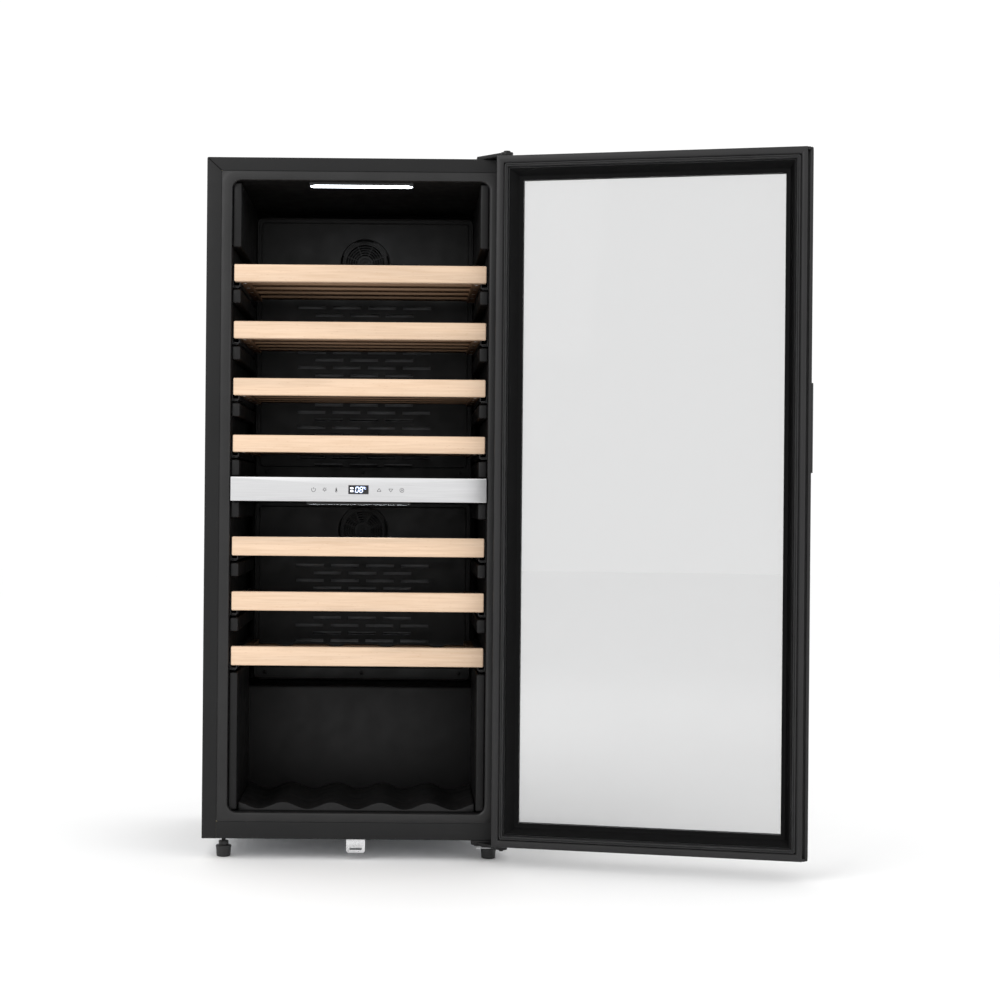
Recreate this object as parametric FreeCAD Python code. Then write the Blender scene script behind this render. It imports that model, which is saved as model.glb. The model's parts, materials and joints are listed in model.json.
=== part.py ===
import FreeCAD, Part
import os
from math import cos, tan

# Free-standing two-zone wine cooler, shown with its glass door opened wide.
# Millimetres. While modelling, X=0 is the cabinet's middle, Y=0 its front plane, Z=0 the floor.
# The front faces -Y. At the end everything moves so that the origin is the bottom centre of the
# whole object's box.

V = FreeCAD.Vector
X = V(1, 0, 0)
Y = V(0, 1, 0)
Z = V(0, 0, 1)

# Cabinet
CAB_W = 555.0
CAB_D = 480.0
BODY_H = 1227.0
FOOT_H = 38.0
SHEET = 0.8
BEND_R = 2.5
FLANGE_SIDE = 26.0
FLANGE_TOP = 24.0
BOTTOM_RAIL_H = 31.0
RAIL_RETURN = 20.0
FIT = 0.5

# Liner and insulation
LINER_T = 2.0
LIP_SIDE = 20.0
LIP_TOP = 17.0
LIP_BOTTOM = 16.0
LIP_TUCK = 6.0
BACK_INSULATION = 58.0
OPEN_R = 16.0
LINER_BACK_R = 10.0
EDGE_EPS = 0.01
MACHINE_D = 175.0
MACHINE_H = 215.0
STEP_INSULATION = 35.0

# Zone divider and control panel
DIVIDER_UP = 608.0
DIVIDER_T = 43.5
DIVIDER_SKIN = 2.0
DIVIDER_FRONT = 14.0
FASCIA_T = 1.2
FASCIA_PROUD = 2.0
FASCIA_RETURN = 6.0
FASCIA_SIDE_GAP = 1.0
HOUSING_WALL = 2.0
BOARD_T = 1.6
BOARD_W = 230.5
DISPLAY_W = 36.5
DISPLAY_H = 16.0
DISPLAY_T = 2.4
DISPLAY_FIT = 0.05

# Shelves
SHELVES_UPPER = 4
UPPER_TOP_SPACE = 151.4
UPPER_LOW_SPACE = 75.6
SHELVES_LOWER = 3
LOWER_TOP_SPACE = 64.5
LOWER_LOW_SPACE = 298.5
FRONT_H_UPPER = 31.0
FRONT_H_LOWER = 34.0
FRONT_T = 18.0
FRONT_SIDE_GAP = 4.0
FRONT_SETBACK = 3.0
FRONT_ROUND = 1.5
BEAM_W = 15.0
BEAM_H = 22.0
SLAT_W = 34.0
SLAT_T = 10.0
SLAT_LIFT = 4.0
SLATS = 5
BOTTLE_R = 42.0
BOTTLE_SEATS = 4
BOTTLE_PITCH = 100.0
SEAT_DEPTH = 4.0
SLIDE_H = 35.0
SLIDE_W = 13.5
SLIDE_T = 1.8
SLIDE_BACK_GAP = 34.0
SLIDE_DROP = 10.0
LEDGE_DEPTH = 16.0
LEDGE_H = 25.0
LEDGE_GAP = 3.5
LEDGE_SETBACK = 10.0
LEDGE_END_GAP = 3.0
LEDGE_NOSE_R = 3.0
LEDGE_BACK_GAP = 25.0
CRADLE_H = 16.0
CRADLE_SEATS = 5
CRADLE_PITCH = 88.0
CRADLE_FLOOR = 4.0
CRADLE_FRONT_GAP = 12.0
CRADLE_BACK_GAP = 8.0
CRADLE_SIDE_GAP = 2.0

# Air ducts, fans and evaporators
DUCT_D = 37.0
COVER_T = 2.5
COVER_SIDE_GAP = 15.0
COVER_CORNER_R = 12.0
COVER_GAP = 1.0
GUARD_R = 49.0
GUARD_HUB_R = 15.0
GUARD_RINGS = 6
GUARD_BAR = 1.6
GUARD_SPOKES = 8
SLOT_W = 56.0
SLOT_H = 6.0
SLOT_PITCH = 15.0
SLOT_GAP = 14.0
SLOT_FIELD_W = 290.0
FAN_SIZE = 84.0
FAN_DEPTH = 25.0
FAN_BORE_R = 40.0
FAN_TIP_GAP = 2.0
FAN_HUB_R = 17.0
FAN_BLADES = 7
FAN_PITCH = 36.0
FAN_CHORD = 13.0
FAN_BLADE_T = 1.6
FAN_SHAFT_R = 1.5
RUN_FIT = 0.05
FAN_DROP = 102.0
FAN_CEILING_GAP = 16.0
FAN_CORNER_R = 6.0
FAN_BOSS_D = 9.0
FAN_BOSS_STEP = 2.0
FAN_STRUTS = 4
FAN_STRUT = 3.0
FAN_HUB_SETBACK = 3.0
FAN_OVERLAP = 1.0
PLATE_T = 1.2
EVAP_TUBE_R = 3.0
EVAP_W = 360.0
EVAP_PASSES = 5
EVAP_MARGIN = 15.0
EVAP_FAN_GAP = 30.0
LOWER_EVAP_GAP = 14.0

# Lights
LIGHT_W = 190.0
LIGHT_D = 40.0
LIGHT_H = 5.0
LIGHT_WALL = 2.0
LIGHT_CORNER_R = 4.0
LENS_T = 2.0
LIGHT_SETBACK = 14.0

# Door
DOOR_T = 45.0
DOOR_GAP = 5.0
DOOR_SIDE_IN = 3.0
DOOR_TOP_DROP = 3.0
DOOR_LOW_DROP = 2.0
DOOR_OPEN = 167.5
DOOR_BORDER = 46.0
BORDER_RISE = 4.0
OUTER_GLASS_T = 4.0
INNER_GLASS_T = 4.0
PANE_GAP = 14.0
DOOR_WALL = 14.0
GLASS_EDGE_GAP = 2.0
SPACER_W = 12.0
SEAL_INSET = 13.0
SEAL_W = 9.0
SEAL_DEPTH = 9.0
SEAL_BULB_GAP = 0.3
SEAL_LIP = 1.0
SEAL_WALL = 1.0
FREE_SHIFT = 7.0
FREE_STRIP = 6.0
FREE_SLOT_W = 3.5
FREE_SLOT_D = 16.0
FREE_STEP = 8.0
TRIM_FACE = 2.0
TRIM_STRIP = 7.0
TRIM_LIP = 7.0
DOOR_CORNER_R = 5.0

# Hinges
PIVOT_EDGE = 14.0
PIVOT_FACE = 20.0
PIN_R = 4.0
HINGE_T = 6.0
HINGE_CLEAR = 1.5
ARM_R = 11.0
HINGE_LEAF_W = 64.0
HINGE_LEAF_D = 46.0
HINGE_IN = 4.0
HINGE_TAPER_Y = 12.0
HINGE_PAD_Y = 2.0
LOW_LEAF_PAST_FOOT = 24.0
HINGE_SCREW_R = 5.0
HINGE_SCREW_H = 2.4
HINGE_SCREW_IN = 20.0
HINGE_SCREW_PITCH = 36.0
HINGE_SCREW_BACK = 14.0
LOW_SCREW_BACK = 10.0
PIN_HEAD_H = 3.0
PIN_HEAD_R = 6.0
BUSH_R = 7.0
BUSH_L = 12.0
BUSH_COLLAR_R = 9.0

# Handle
HANDLE_L = 154.0
HANDLE_UP = 131.0
HANDLE_T = 2.6
HANDLE_REACH = 25.0
HANDLE_LIP = 30.0
HANDLE_LIP_T = 4.0
HANDLE_PLATE_D = 34.0
HANDLE_BEND_R = 2.0

# Feet and strike
FOOT_IN = 36.6
FOOT_FRONT = 38.0
FOOT_REAR = 30.0
FOOT_TOP_R = 14.2
FOOT_BASE_R = 12.5
FOOT_PAD_H = 20.0
FOOT_NECK_R = 9.0
STUD_R = 4.0
SOCKET_R = 10.0
SOCKET_H = 18.0
STUD_INTO = 14.0
STRIKE_W = 34.0
STRIKE_H = 24.0
STRIKE_T = 1.5
STRIKE_SLOT_W = 22.0
STRIKE_SLOT_H = 3.5
STRIKE_SLOT_UP = 7.0
STRIKE_CORNER_R = 5.0
STRIKE_LEG = 20.0
STRIKE_SETBACK = 8.0

# Machine room
BASE_T = 1.5
GROMMET_H = 12.0
GROMMET_R = 11.0
COMP_SIDE = 187.5
COMP_R = 60.0
COMP_WALL_H = 108.0
COMP_DOME_H = 40.0
COMP_PLATE_W = 160.0
COMP_PLATE_D = 110.0
COMP_PLATE_T = 3.0
COMP_PLATE_R = 10.0
COMP_TERMINAL_UP = 60.0
SUCTION_OFF = -32.0
DISCHARGE_OFF = 30.0
SUCTION_RUN = -50.0
DISCHARGE_RUN = 50.0
STUB_H = 6.0
PIPE_RISE = 14.0
STUB_R = 5.0
PIPE_R = 3.2
PIPE_BEND = 12.0
DRYER_OFF = 120.0
DRYER_BACK = 25.0
DRYER_UP = 70.0
DRYER_CONE = 14.0
DRYER_RUN = 40.0
DRYER_R = 9.0
DRYER_L = 90.0
START_BOX_W = 26.0
START_BOX_D = 48.0
START_BOX_H = 62.0
START_BOX_R = 4.0
TERMINAL_D = 34.0
TERMINAL_H = 50.0
TERMINAL_OUT = 4.0
TERMINAL_IN = 12.0
GRILLE_T = 1.2
GRILLE_SLOTS = 9
GRILLE_COLUMNS = 4
GRILLE_SLOT_H = 5.0
GRILLE_BRIDGE = 20.0
GRILLE_MARGIN = 30.0
GRILLE_TOP_MARGIN = 75.0
INLET_SIDE = 72.5
INLET_DROP = 40.0
INLET_W = 46.0
INLET_H = 28.0
INLET_DEPTH = 24.0
INLET_EAR = 9.0
INLET_RIM = 3.0
INLET_WALL = 2.0
INLET_FLANGE_T = 2.0
INLET_CORNER_R = 4.0
INLET_FLOOR = 6.0
BLADE_W = 2.0
BLADE_H = 4.0
BLADE_SPREAD = 7.0
BLADE_STEP = 2.0
BLADE_SETBACK = 4.0
BLADE_ROOT = 1.0
REAR_SCREW_R = 4.0
REAR_SCREW_H = 2.0
REAR_SCREW_IN = 12.0
TRAY_T = 2.0
TRAY_H = 30.0
TRAY_SIDE_GAP = 26.0
TRAY_DRYER_GAP = 60.0
TRAY_FRONT_GAP = 12.0
TRAY_BACK_GAP = 60.0

# Condenser on the back
COIL_R = 2.5
COIL_STAND = 18.0
COIL_PASSES = 15
COIL_SIDE_GAP = 50.0
COIL_TOP_GAP = 70.0
COIL_LOW_GAP = 60.0
WIRE_R = 0.8
WIRES = 26
WIRE_OVER = 12.0
WIRE_BEND_GAP = 6.0
CLIP_W = 14.0
CLIP_H = 24.0
CLIP_IN = 20.0

# Places worked out from the sizes above
BASE_Z = FOOT_H
TOP_Z = FOOT_H + BODY_H
HALF_W = CAB_W / 2
OPEN_HALF = HALF_W - FLANGE_SIDE - LIP_SIDE
OPEN_LOW = BASE_Z + BOTTOM_RAIL_H + LIP_BOTTOM
OPEN_TOP = TOP_Z - FLANGE_TOP - LIP_TOP
LINER_D = CAB_D - BACK_INSULATION
MACHINE_Y = CAB_D - MACHINE_D
MACHINE_TOP = BASE_Z + MACHINE_H
STEP_Y = MACHINE_Y - STEP_INSULATION
STEP_Z = MACHINE_TOP + STEP_INSULATION
DIVIDER_Z = BASE_Z + DIVIDER_UP
DIVIDER_TOP = DIVIDER_Z + DIVIDER_T
COVER_Y = LINER_D - DUCT_D
COVER_HALF = OPEN_HALF - COVER_SIDE_GAP
BEAM_OUT = OPEN_HALF - SLIDE_W
SLIDE_Y = FRONT_SETBACK + FRONT_T
SLIDE_END = COVER_Y - SLIDE_BACK_GAP
SLIDE_L = SLIDE_END - SLIDE_Y
DOOR_HALF = HALF_W - DOOR_SIDE_IN
DOOR_TOP = TOP_Z - DOOR_TOP_DROP
DOOR_LOW = BASE_Z - DOOR_LOW_DROP
HANDLE_Z = (DOOR_LOW + DOOR_TOP) / 2 + HANDLE_UP
PIVOT_X = DOOR_HALF - PIVOT_EDGE
PIVOT_Y = PIVOT_FACE - DOOR_GAP - DOOR_T
LEAF_TOP = DOOR_LOW - HINGE_CLEAR
FOOT_NECK_TOP = LEAF_TOP - HINGE_T - FIT
INNER_GLASS_AT = DOOR_T - OUTER_GLASS_T - PANE_GAP - INNER_GLASS_T
UPPER_FAN_Z = OPEN_TOP - FAN_DROP
LOWER_FAN_Z = DIVIDER_Z - FAN_SIZE / 2 - FAN_CEILING_GAP
COIL_Y = CAB_D + COIL_STAND
MACHINE_MID_Y = (MACHINE_Y + CAB_D) / 2
COMP_X = HALF_W - COMP_SIDE
DRYER_X = COMP_X - DRYER_OFF
INLET_X = INLET_SIDE - HALF_W
HINGE_RIGHT = HALF_W - SHEET - HINGE_IN
HINGE_LEFT = HINGE_RIGHT - HINGE_LEAF_W
SHELF_HIGH_UPPER = OPEN_TOP - UPPER_TOP_SPACE
SHELF_HIGH_LOWER = DIVIDER_Z - LOWER_TOP_SPACE
SHELF_PITCH_UPPER = (SHELF_HIGH_UPPER - UPPER_LOW_SPACE - DIVIDER_TOP) / (SHELVES_UPPER - 1)
SHELF_PITCH_LOWER = (SHELF_HIGH_LOWER - LOWER_LOW_SPACE - OPEN_LOW) / (SHELVES_LOWER - 1)
SHELF_TOPS = [SHELF_HIGH_UPPER - SHELF_PITCH_UPPER * k for k in range(SHELVES_UPPER)]
SHELF_TOPS += [SHELF_HIGH_LOWER - SHELF_PITCH_LOWER * k for k in range(SHELVES_LOWER)]

nodes = {}


def box(x, y, z):
    """Block between (low, high) pairs along each axis."""
    return Part.makeBox(x[1] - x[0], y[1] - y[0], z[1] - z[0], V(x[0], y[0], z[0]))


def rod(start, axis, radius, length):
    """Round bar from a point along an axis."""
    return Part.makeCylinder(radius, length, V(*start), axis)


def cone(start, axis, r_start, r_end, length):
    """Tapered round bar."""
    return Part.makeCone(r_start, r_end, length, V(*start), axis)


def around(centre, width):
    """(low, high) pair of a width about a centre."""
    return (centre - width / 2, centre + width / 2)


def fuse(solids):
    """One solid from several that touch or overlap."""
    return solids[0].multiFuse(solids[1:]).removeSplitter() if len(solids) > 1 else solids[0]


def mirrored(shape):
    """The same piece on the other side of the cabinet's middle plane."""
    return shape.mirror(V(0, 0, 0), X)


def rounded(solid, radius, axis):
    """Rounds the edges that run along an axis."""
    edges = [e for e in solid.Edges if abs(e.tangentAt(e.FirstParameter).dot(axis)) > 0.999]
    return solid.makeFillet(radius, edges)


def edges_where(solid, test):
    """The edges whose bounding box passes a test."""
    return [edge for edge in solid.Edges if test(edge.BoundBox)]


def tube_along(points, radius, bend):
    """Round bar along straight runs joined by tangent arcs."""
    points = [V(*p) for p in points]
    edges = []
    start = points[0]
    for before, corner, after in zip(points, points[1:], points[2:]):
        into = (corner - before).normalize()
        out = (after - corner).normalize()
        turn = into.getAngle(out)
        cut = bend * tan(turn / 2)
        a = corner - into * cut
        b = corner + out * cut
        middle = corner + (out - into).normalize() * (bend / cos(turn / 2) - bend)
        edges.append(Part.LineSegment(start, a).toShape())
        edges.append(Part.Arc(a, middle, b).toShape())
        start = b
    edges.append(Part.LineSegment(start, points[-1]).toShape())
    path = Part.Wire(edges)
    ring = Part.Wire([Part.Circle(points[0], points[1] - points[0], radius).toShape()])
    return path.makePipeShell([ring], True, True)


def put(name, *solids):
    """Files one or more separate solids under a node's name."""
    nodes.setdefault(name, []).extend(solids)


# ---------------------------------------------------------------- cabinet shell

def cavity(offset, front):
    """Inside of the liner, grown by an offset, from a front plane back."""
    half = OPEN_HALF + offset
    back = LINER_D + offset
    low = OPEN_LOW - offset
    space = box((-half, half), (front, back), (low, OPEN_TOP + offset))
    space = rounded(space, OPEN_R + offset, Y)
    rim = edges_where(space, lambda b: b.YMin > back - EDGE_EPS)
    space = space.makeFillet(LINER_BACK_R + offset, rim)
    over = 2 * OPEN_R
    step = box((-half - over, half + over), (STEP_Y + offset, back + over), (low - over, STEP_Z - offset))
    return space.cut(step)


def foot_places():
    """Centres of the four feet, by name."""
    side = HALF_W - FOOT_IN
    rear = CAB_D - FOOT_REAR
    return {
        "front_left": (-side, FOOT_FRONT),
        "front_right": (side, FOOT_FRONT),
        "rear_left": (-side, rear),
        "rear_right": (side, rear),
    }


def make_casing():
    """Wrap-round steel skin: two sides and the top, folded in at the front."""
    outer = box((-HALF_W, HALF_W), (0, CAB_D), (BASE_Z, TOP_Z))
    front = edges_where(outer, lambda b: b.YMax < EDGE_EPS and b.ZMax > TOP_Z - EDGE_EPS)
    outer = outer.makeFillet(BEND_R, front)
    half = HALF_W - SHEET
    inner = box((-half, half), (SHEET, CAB_D + 1), (BASE_Z - 1, TOP_Z - SHEET))
    front = edges_where(inner, lambda b: b.YMax < SHEET + EDGE_EPS and b.ZMax > TOP_Z - SHEET - EDGE_EPS)
    inner = inner.makeFillet(BEND_R - SHEET, front)
    window_half = HALF_W - FLANGE_SIDE
    window = box((-window_half, window_half), (-1, SHEET + 1), (BASE_Z - 1, TOP_Z - FLANGE_TOP))
    put("outer_casing", outer.cut(inner).cut(window))


def make_bottom_rail():
    """Front rail under the opening, with a return under the cabinet."""
    half = HALF_W - FLANGE_SIDE
    face = box((-half, half), (0, SHEET), (BASE_Z, BASE_Z + BOTTOM_RAIL_H))
    under = box((-half, half), (SHEET, RAIL_RETURN), (BASE_Z, BASE_Z + SHEET))
    rail = fuse([face, under])
    for x, y in foot_places().values():
        rail = rail.cut(rod((x, y, BASE_Z - 1), Z, SOCKET_R, SHEET + 2))
    put("bottom_rail", rail)


def make_base_pan():
    """Floor sheet, stepped up over the machine room."""
    half = HALF_W - SHEET
    floor = box((-half, half), (RAIL_RETURN, MACHINE_Y), (BASE_Z, BASE_Z + SHEET))
    wall = box((-half, half), (MACHINE_Y - SHEET, MACHINE_Y), (BASE_Z, MACHINE_TOP))
    roof = box((-half, half), (MACHINE_Y - SHEET, CAB_D - SHEET), (MACHINE_TOP, MACHINE_TOP + SHEET))
    pan = fuse([floor, wall, roof])
    for x, y in foot_places().values():
        if y < MACHINE_Y:
            pan = pan.cut(rod((x, y, BASE_Z - 1), Z, SOCKET_R, SHEET + 2))
    put("base_pan", pan)


def make_back_panel():
    """Back sheet above the machine room."""
    half = HALF_W - SHEET
    put("back_panel", box((-half, half), (CAB_D - SHEET, CAB_D), (MACHINE_TOP, TOP_Z - SHEET)))


def make_liner():
    """Moulded inner box with a lip round the opening."""
    shell = cavity(LINER_T, SHEET).cut(cavity(0, SHEET - 1))
    tuck_x = OPEN_HALF + LIP_SIDE + LIP_TUCK
    low = OPEN_LOW - LIP_BOTTOM - LIP_TUCK
    high = OPEN_TOP + LIP_TOP + LIP_TUCK
    lip = box((-tuck_x, tuck_x), (SHEET, SHEET + LINER_T), (low, high)).cut(cavity(0, SHEET - 1))
    put("inner_liner", fuse([shell, lip]))


def make_foam():
    """Poured insulation between the casing and the liner."""
    half = HALF_W - SHEET
    block = box((-half, half), (SHEET + LINER_T, CAB_D - SHEET), (BASE_Z + SHEET, TOP_Z - SHEET))
    recess = box((-half - 1, half + 1), (MACHINE_Y - SHEET, CAB_D + 1), (BASE_Z - 1, MACHINE_TOP + SHEET))
    block = block.cut(cavity(LINER_T, SHEET)).cut(recess)
    for x, y in foot_places().values():
        if y < MACHINE_Y:
            block = block.cut(rod((x, y, BASE_Z), Z, SOCKET_R, SOCKET_H))
    put("foam_insulation", block)


def ledge_spans():
    """Heights of the side ledges: one under each shelf, longer ones beside the free spaces."""
    upper = SHELF_TOPS[:SHELVES_UPPER]
    lower = SHELF_TOPS[SHELVES_UPPER:]
    spans = [(upper[0] + FRONT_H_UPPER + FIT, OPEN_TOP - LEDGE_END_GAP)]
    spans.append((lower[0] + FRONT_H_LOWER, DIVIDER_Z - FIT))
    zones = ((upper, FRONT_H_UPPER, DIVIDER_TOP + FIT), (lower, FRONT_H_LOWER, OPEN_LOW + LEDGE_END_GAP))
    for tops, height, floor in zones:
        for top in tops:
            high = top - height - SLIDE_DROP - LEDGE_GAP
            spans.append((floor if top == tops[-1] else high - LEDGE_H, high))
    return spans


def make_ledges():
    """Side ledges that back up the shelf slides, front to back on both walls."""
    inner_x = OPEN_HALF - LEDGE_DEPTH
    room = cavity(0, SHEET)
    for low, high in ledge_spans():
        back = STEP_Y - FIT if low < STEP_Z else COVER_Y - LEDGE_BACK_GAP
        ledge = box((inner_x, OPEN_HALF), (LEDGE_SETBACK, back), (low, high))
        nose = edges_where(ledge, lambda b: b.XMax < inner_x + EDGE_EPS and b.YMax < LEDGE_SETBACK + EDGE_EPS)
        ledge = ledge.makeFillet(LEDGE_NOSE_R, nose).common(room).Solids[0]
        put("shelf_ledges", ledge, mirrored(ledge))


# ---------------------------------------------------------------- divider and controls

def make_divider():
    """Insulated floor between the two zones: moulded skin, open at the front, and its core."""
    outer = box((-OPEN_HALF, OPEN_HALF), (DIVIDER_FRONT, LINER_D), (DIVIDER_Z, DIVIDER_TOP))
    skin = DIVIDER_SKIN
    hollow_x = (-OPEN_HALF + skin, OPEN_HALF - skin)
    hollow_z = (DIVIDER_Z + skin, DIVIDER_TOP - skin)
    corner = LINER_BACK_R + LINER_T
    inner = box(hollow_x, (DIVIDER_FRONT - 1, LINER_D - corner), hollow_z)
    shell = outer.common(cavity(0, SHEET)).cut(inner)
    put("zone_divider", shell)
    put("divider_core", box(hollow_x, (DIVIDER_FRONT, LINER_D - corner), hollow_z))


def make_controls():
    """Brushed fascia across the divider with a display, and the touch board in its housing."""
    half = OPEN_HALF - FASCIA_SIDE_GAP
    face_y = (-FASCIA_PROUD, -FASCIA_PROUD + FASCIA_T)
    span = (-half, half)
    high = DIVIDER_TOP
    low = DIVIDER_Z
    face = box(span, face_y, (low, high))
    reach = (face_y[0], face_y[0] + FASCIA_RETURN)
    top = box(span, reach, (high - FASCIA_T, high))
    bottom = box(span, reach, (low, low + FASCIA_T))
    middle = (low + high) / 2
    window = box(around(0, DISPLAY_W), (face_y[0] - 1, face_y[1] + 1), around(middle, DISPLAY_H))
    fascia = fuse([face, top, bottom]).cut(window)
    put("control_fascia", fascia)
    put("display_window", box(around(0, DISPLAY_W - 2 * DISPLAY_FIT), (face_y[0], face_y[0] + DISPLAY_T),
                              around(middle, DISPLAY_H - 2 * DISPLAY_FIT)))
    inner_low = low + FASCIA_T
    inner_high = high - FASCIA_T
    case = box((-half + FIT, half - FIT), (face_y[1], DIVIDER_FRONT), (inner_low, inner_high))
    wall = HOUSING_WALL
    pocket = box((-half + FIT + wall, half - FIT - wall), (face_y[1] - 1, DIVIDER_FRONT - wall),
                 (inner_low + wall, inner_high - wall))
    put("control_housing", case.cut(pocket))
    board_y = face_y[0] + DISPLAY_T
    put("control_board", box(around(0, BOARD_W), (board_y, board_y + BOARD_T),
                             (inner_low + wall, inner_high - wall)))


def make_light(ceiling):
    """One strip light under a ceiling: housing and lens."""
    y = (LIGHT_SETBACK, LIGHT_SETBACK + LIGHT_D)
    case = box(around(0, LIGHT_W), y, (ceiling - LIGHT_H, ceiling))
    case = rounded(case, LIGHT_CORNER_R, Z)
    wall = LIGHT_WALL
    inside = (y[0] + wall, y[1] - wall)
    pocket = box(around(0, LIGHT_W - 2 * wall), inside, (ceiling - LIGHT_H - 1, ceiling - wall))
    lens = box(around(0, LIGHT_W - 2 * wall), inside, (ceiling - LIGHT_H, ceiling - LIGHT_H + LENS_T))
    put("light_housings", case.cut(pocket))
    put("light_lenses", lens)


# ---------------------------------------------------------------- ducts, fans, evaporators

def fan_grille(z):
    """The open gaps of a ringed fan guard, as one tool that cuts them from a plate."""
    deep = COVER_T + 2
    y = COVER_Y - 1
    gap = rod((0, y, z), Y, GUARD_R, deep).cut(rod((0, y, z), Y, GUARD_HUB_R, deep))
    step = (GUARD_R - GUARD_HUB_R) / (GUARD_RINGS + 1)
    bars = []
    for k in range(1, GUARD_RINGS + 1):
        radius = GUARD_HUB_R + step * k
        ring = rod((0, y, z), Y, radius + GUARD_BAR / 2, deep)
        bars.append(ring.cut(rod((0, y, z), Y, radius - GUARD_BAR / 2, deep)))
    for k in range(GUARD_SPOKES):
        spoke = box((0, GUARD_R + 1), (y, y + deep), around(z, GUARD_BAR))
        spoke.rotate(V(0, 0, z), Y, 360.0 * (k + 0.5) / GUARD_SPOKES)
        bars.append(spoke)
    return gap.cut(bars)


def vent_slots(low, high):
    """Staggered rows of air slots between two heights."""
    slots = []
    rows = int((high - low) / SLOT_PITCH)
    per_row = int((SLOT_FIELD_W + SLOT_GAP) / (SLOT_W + SLOT_GAP))
    for row in range(rows):
        z = high - SLOT_PITCH * (row + 0.5)
        count = per_row - row % 2
        for k in range(count):
            x = (k - (count - 1) / 2) * (SLOT_W + SLOT_GAP)
            slots.append(box(around(x, SLOT_W), (COVER_Y - 1, COVER_Y + COVER_T + 1), around(z, SLOT_H)))
    return slots


def make_duct_cover(name, z, fan_z, slot_z):
    """Tray-shaped cover on the back wall, with a fan guard and air slots."""
    x = (-COVER_HALF, COVER_HALF)
    block = rounded(box(x, (COVER_Y, LINER_D), z), COVER_CORNER_R, Y)
    inner = box(grow(x, -COVER_T), (COVER_Y + COVER_T, LINER_D + 1), grow(z, -COVER_T))
    inner = rounded(inner, COVER_CORNER_R - COVER_T, Y)
    tray = block.cut(inner)
    put(name, tray.cut([fan_grille(fan_z)] + vent_slots(*slot_z)))


def make_fan(name, z):
    """Square fan frame with a struts-and-boss back, and a bladed rotor on a small shaft."""
    front = COVER_Y + COVER_T
    back = front + FAN_DEPTH
    frame = rounded(box(around(0, FAN_SIZE), (front, back), around(z, FAN_SIZE)), FAN_CORNER_R, Y)
    frame = frame.cut(rod((0, front - 1, z), Y, FAN_BORE_R, FAN_DEPTH + 2))
    boss_r = FAN_HUB_R - FAN_BOSS_STEP
    boss = rod((0, back - FAN_BOSS_D, z), Y, boss_r, FAN_BOSS_D)
    parts = [frame, boss]
    for k in range(FAN_STRUTS):
        reach = (boss_r - FAN_OVERLAP, FAN_BORE_R + FAN_OVERLAP)
        strut = box(reach, (back - FAN_STRUT, back), around(z, FAN_STRUT))
        strut.rotate(V(0, 0, z), Y, 360.0 * (k + 0.5) / FAN_STRUTS)
        parts.append(strut)
    body = fuse(parts).cut(rod((0, front - 1, z), Y, FAN_SHAFT_R + RUN_FIT, FAN_DEPTH + 2))
    put("fan_frames", body)
    hub_y = front + FAN_HUB_SETBACK
    hub_l = back - FAN_BOSS_D - FIT - hub_y
    hub = rod((0, hub_y, z), Y, FAN_HUB_R, hub_l)
    shaft = rod((0, hub_y + hub_l - FAN_OVERLAP, z), Y, FAN_SHAFT_R, FAN_BOSS_D)
    pieces = [hub, shaft]
    tip = FAN_BORE_R - FAN_TIP_GAP
    for k in range(FAN_BLADES):
        middle = hub_y + hub_l / 2
        blade = box((FAN_HUB_R - 3 * FAN_OVERLAP, tip), around(middle, FAN_BLADE_T), around(z, FAN_CHORD))
        blade.rotate(V(0, middle, z), X, FAN_PITCH)
        blade.rotate(V(0, 0, z), Y, 360.0 * k / FAN_BLADES)
        pieces.append(blade)
    put(name, fuse(pieces))


def serpentine(x, z, y, passes, radius):
    """Round tube that runs to and fro between two sides, rising a pitch at each turn."""
    pitch = (z[1] - z[0]) / (passes - 1)
    bend = pitch / 2
    left = x[0] + bend
    right = x[1] - bend
    edges = []
    for k in range(passes):
        level = z[0] + pitch * k
        a, b, out = (left, right, bend) if k % 2 == 0 else (right, left, -bend)
        edges.append(Part.LineSegment(V(a, y, level), V(b, y, level)).toShape())
        if k < passes - 1:
            middle = V(b + out, y, level + bend)
            edges.append(Part.Arc(V(b, y, level), middle, V(b, y, level + pitch)).toShape())
    start = V(left, y, z[0])
    ring = Part.Wire([Part.Circle(start, X, radius).toShape()])
    return Part.Wire(edges).makePipeShell([ring], True, True)


def make_evaporator(z):
    """Roll-bond plate with its raised channel, on the back wall behind a duct cover."""
    y = LINER_D - PLATE_T
    plate = box(around(0, EVAP_W), (y, LINER_D), z)
    run = serpentine(around(0, EVAP_W - 2 * EVAP_MARGIN), grow(z, -EVAP_MARGIN), y, EVAP_PASSES, EVAP_TUBE_R)
    behind = box(around(0, EVAP_W), (LINER_D, LINER_D + 2 * EVAP_TUBE_R), z)
    put("evaporator_plates", fuse([plate, run]).cut(behind))


# ---------------------------------------------------------------- shelves

def front_height(k):
    """Height of a shelf's front board."""
    return FRONT_H_UPPER if k < SHELVES_UPPER else FRONT_H_LOWER


def channel(x, y, z, thickness):
    """Channel with its web at the first x and its flanges running to the second x."""
    web_x = (x[0], x[0] + thickness) if x[1] > x[0] else (x[0] - thickness, x[0])
    flange_x = (min(x), max(x))
    web = box(web_x, y, z)
    low = box(flange_x, y, (z[0], z[0] + thickness))
    high = box(flange_x, y, (z[1] - thickness, z[1]))
    return fuse([web, low, high])


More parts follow.
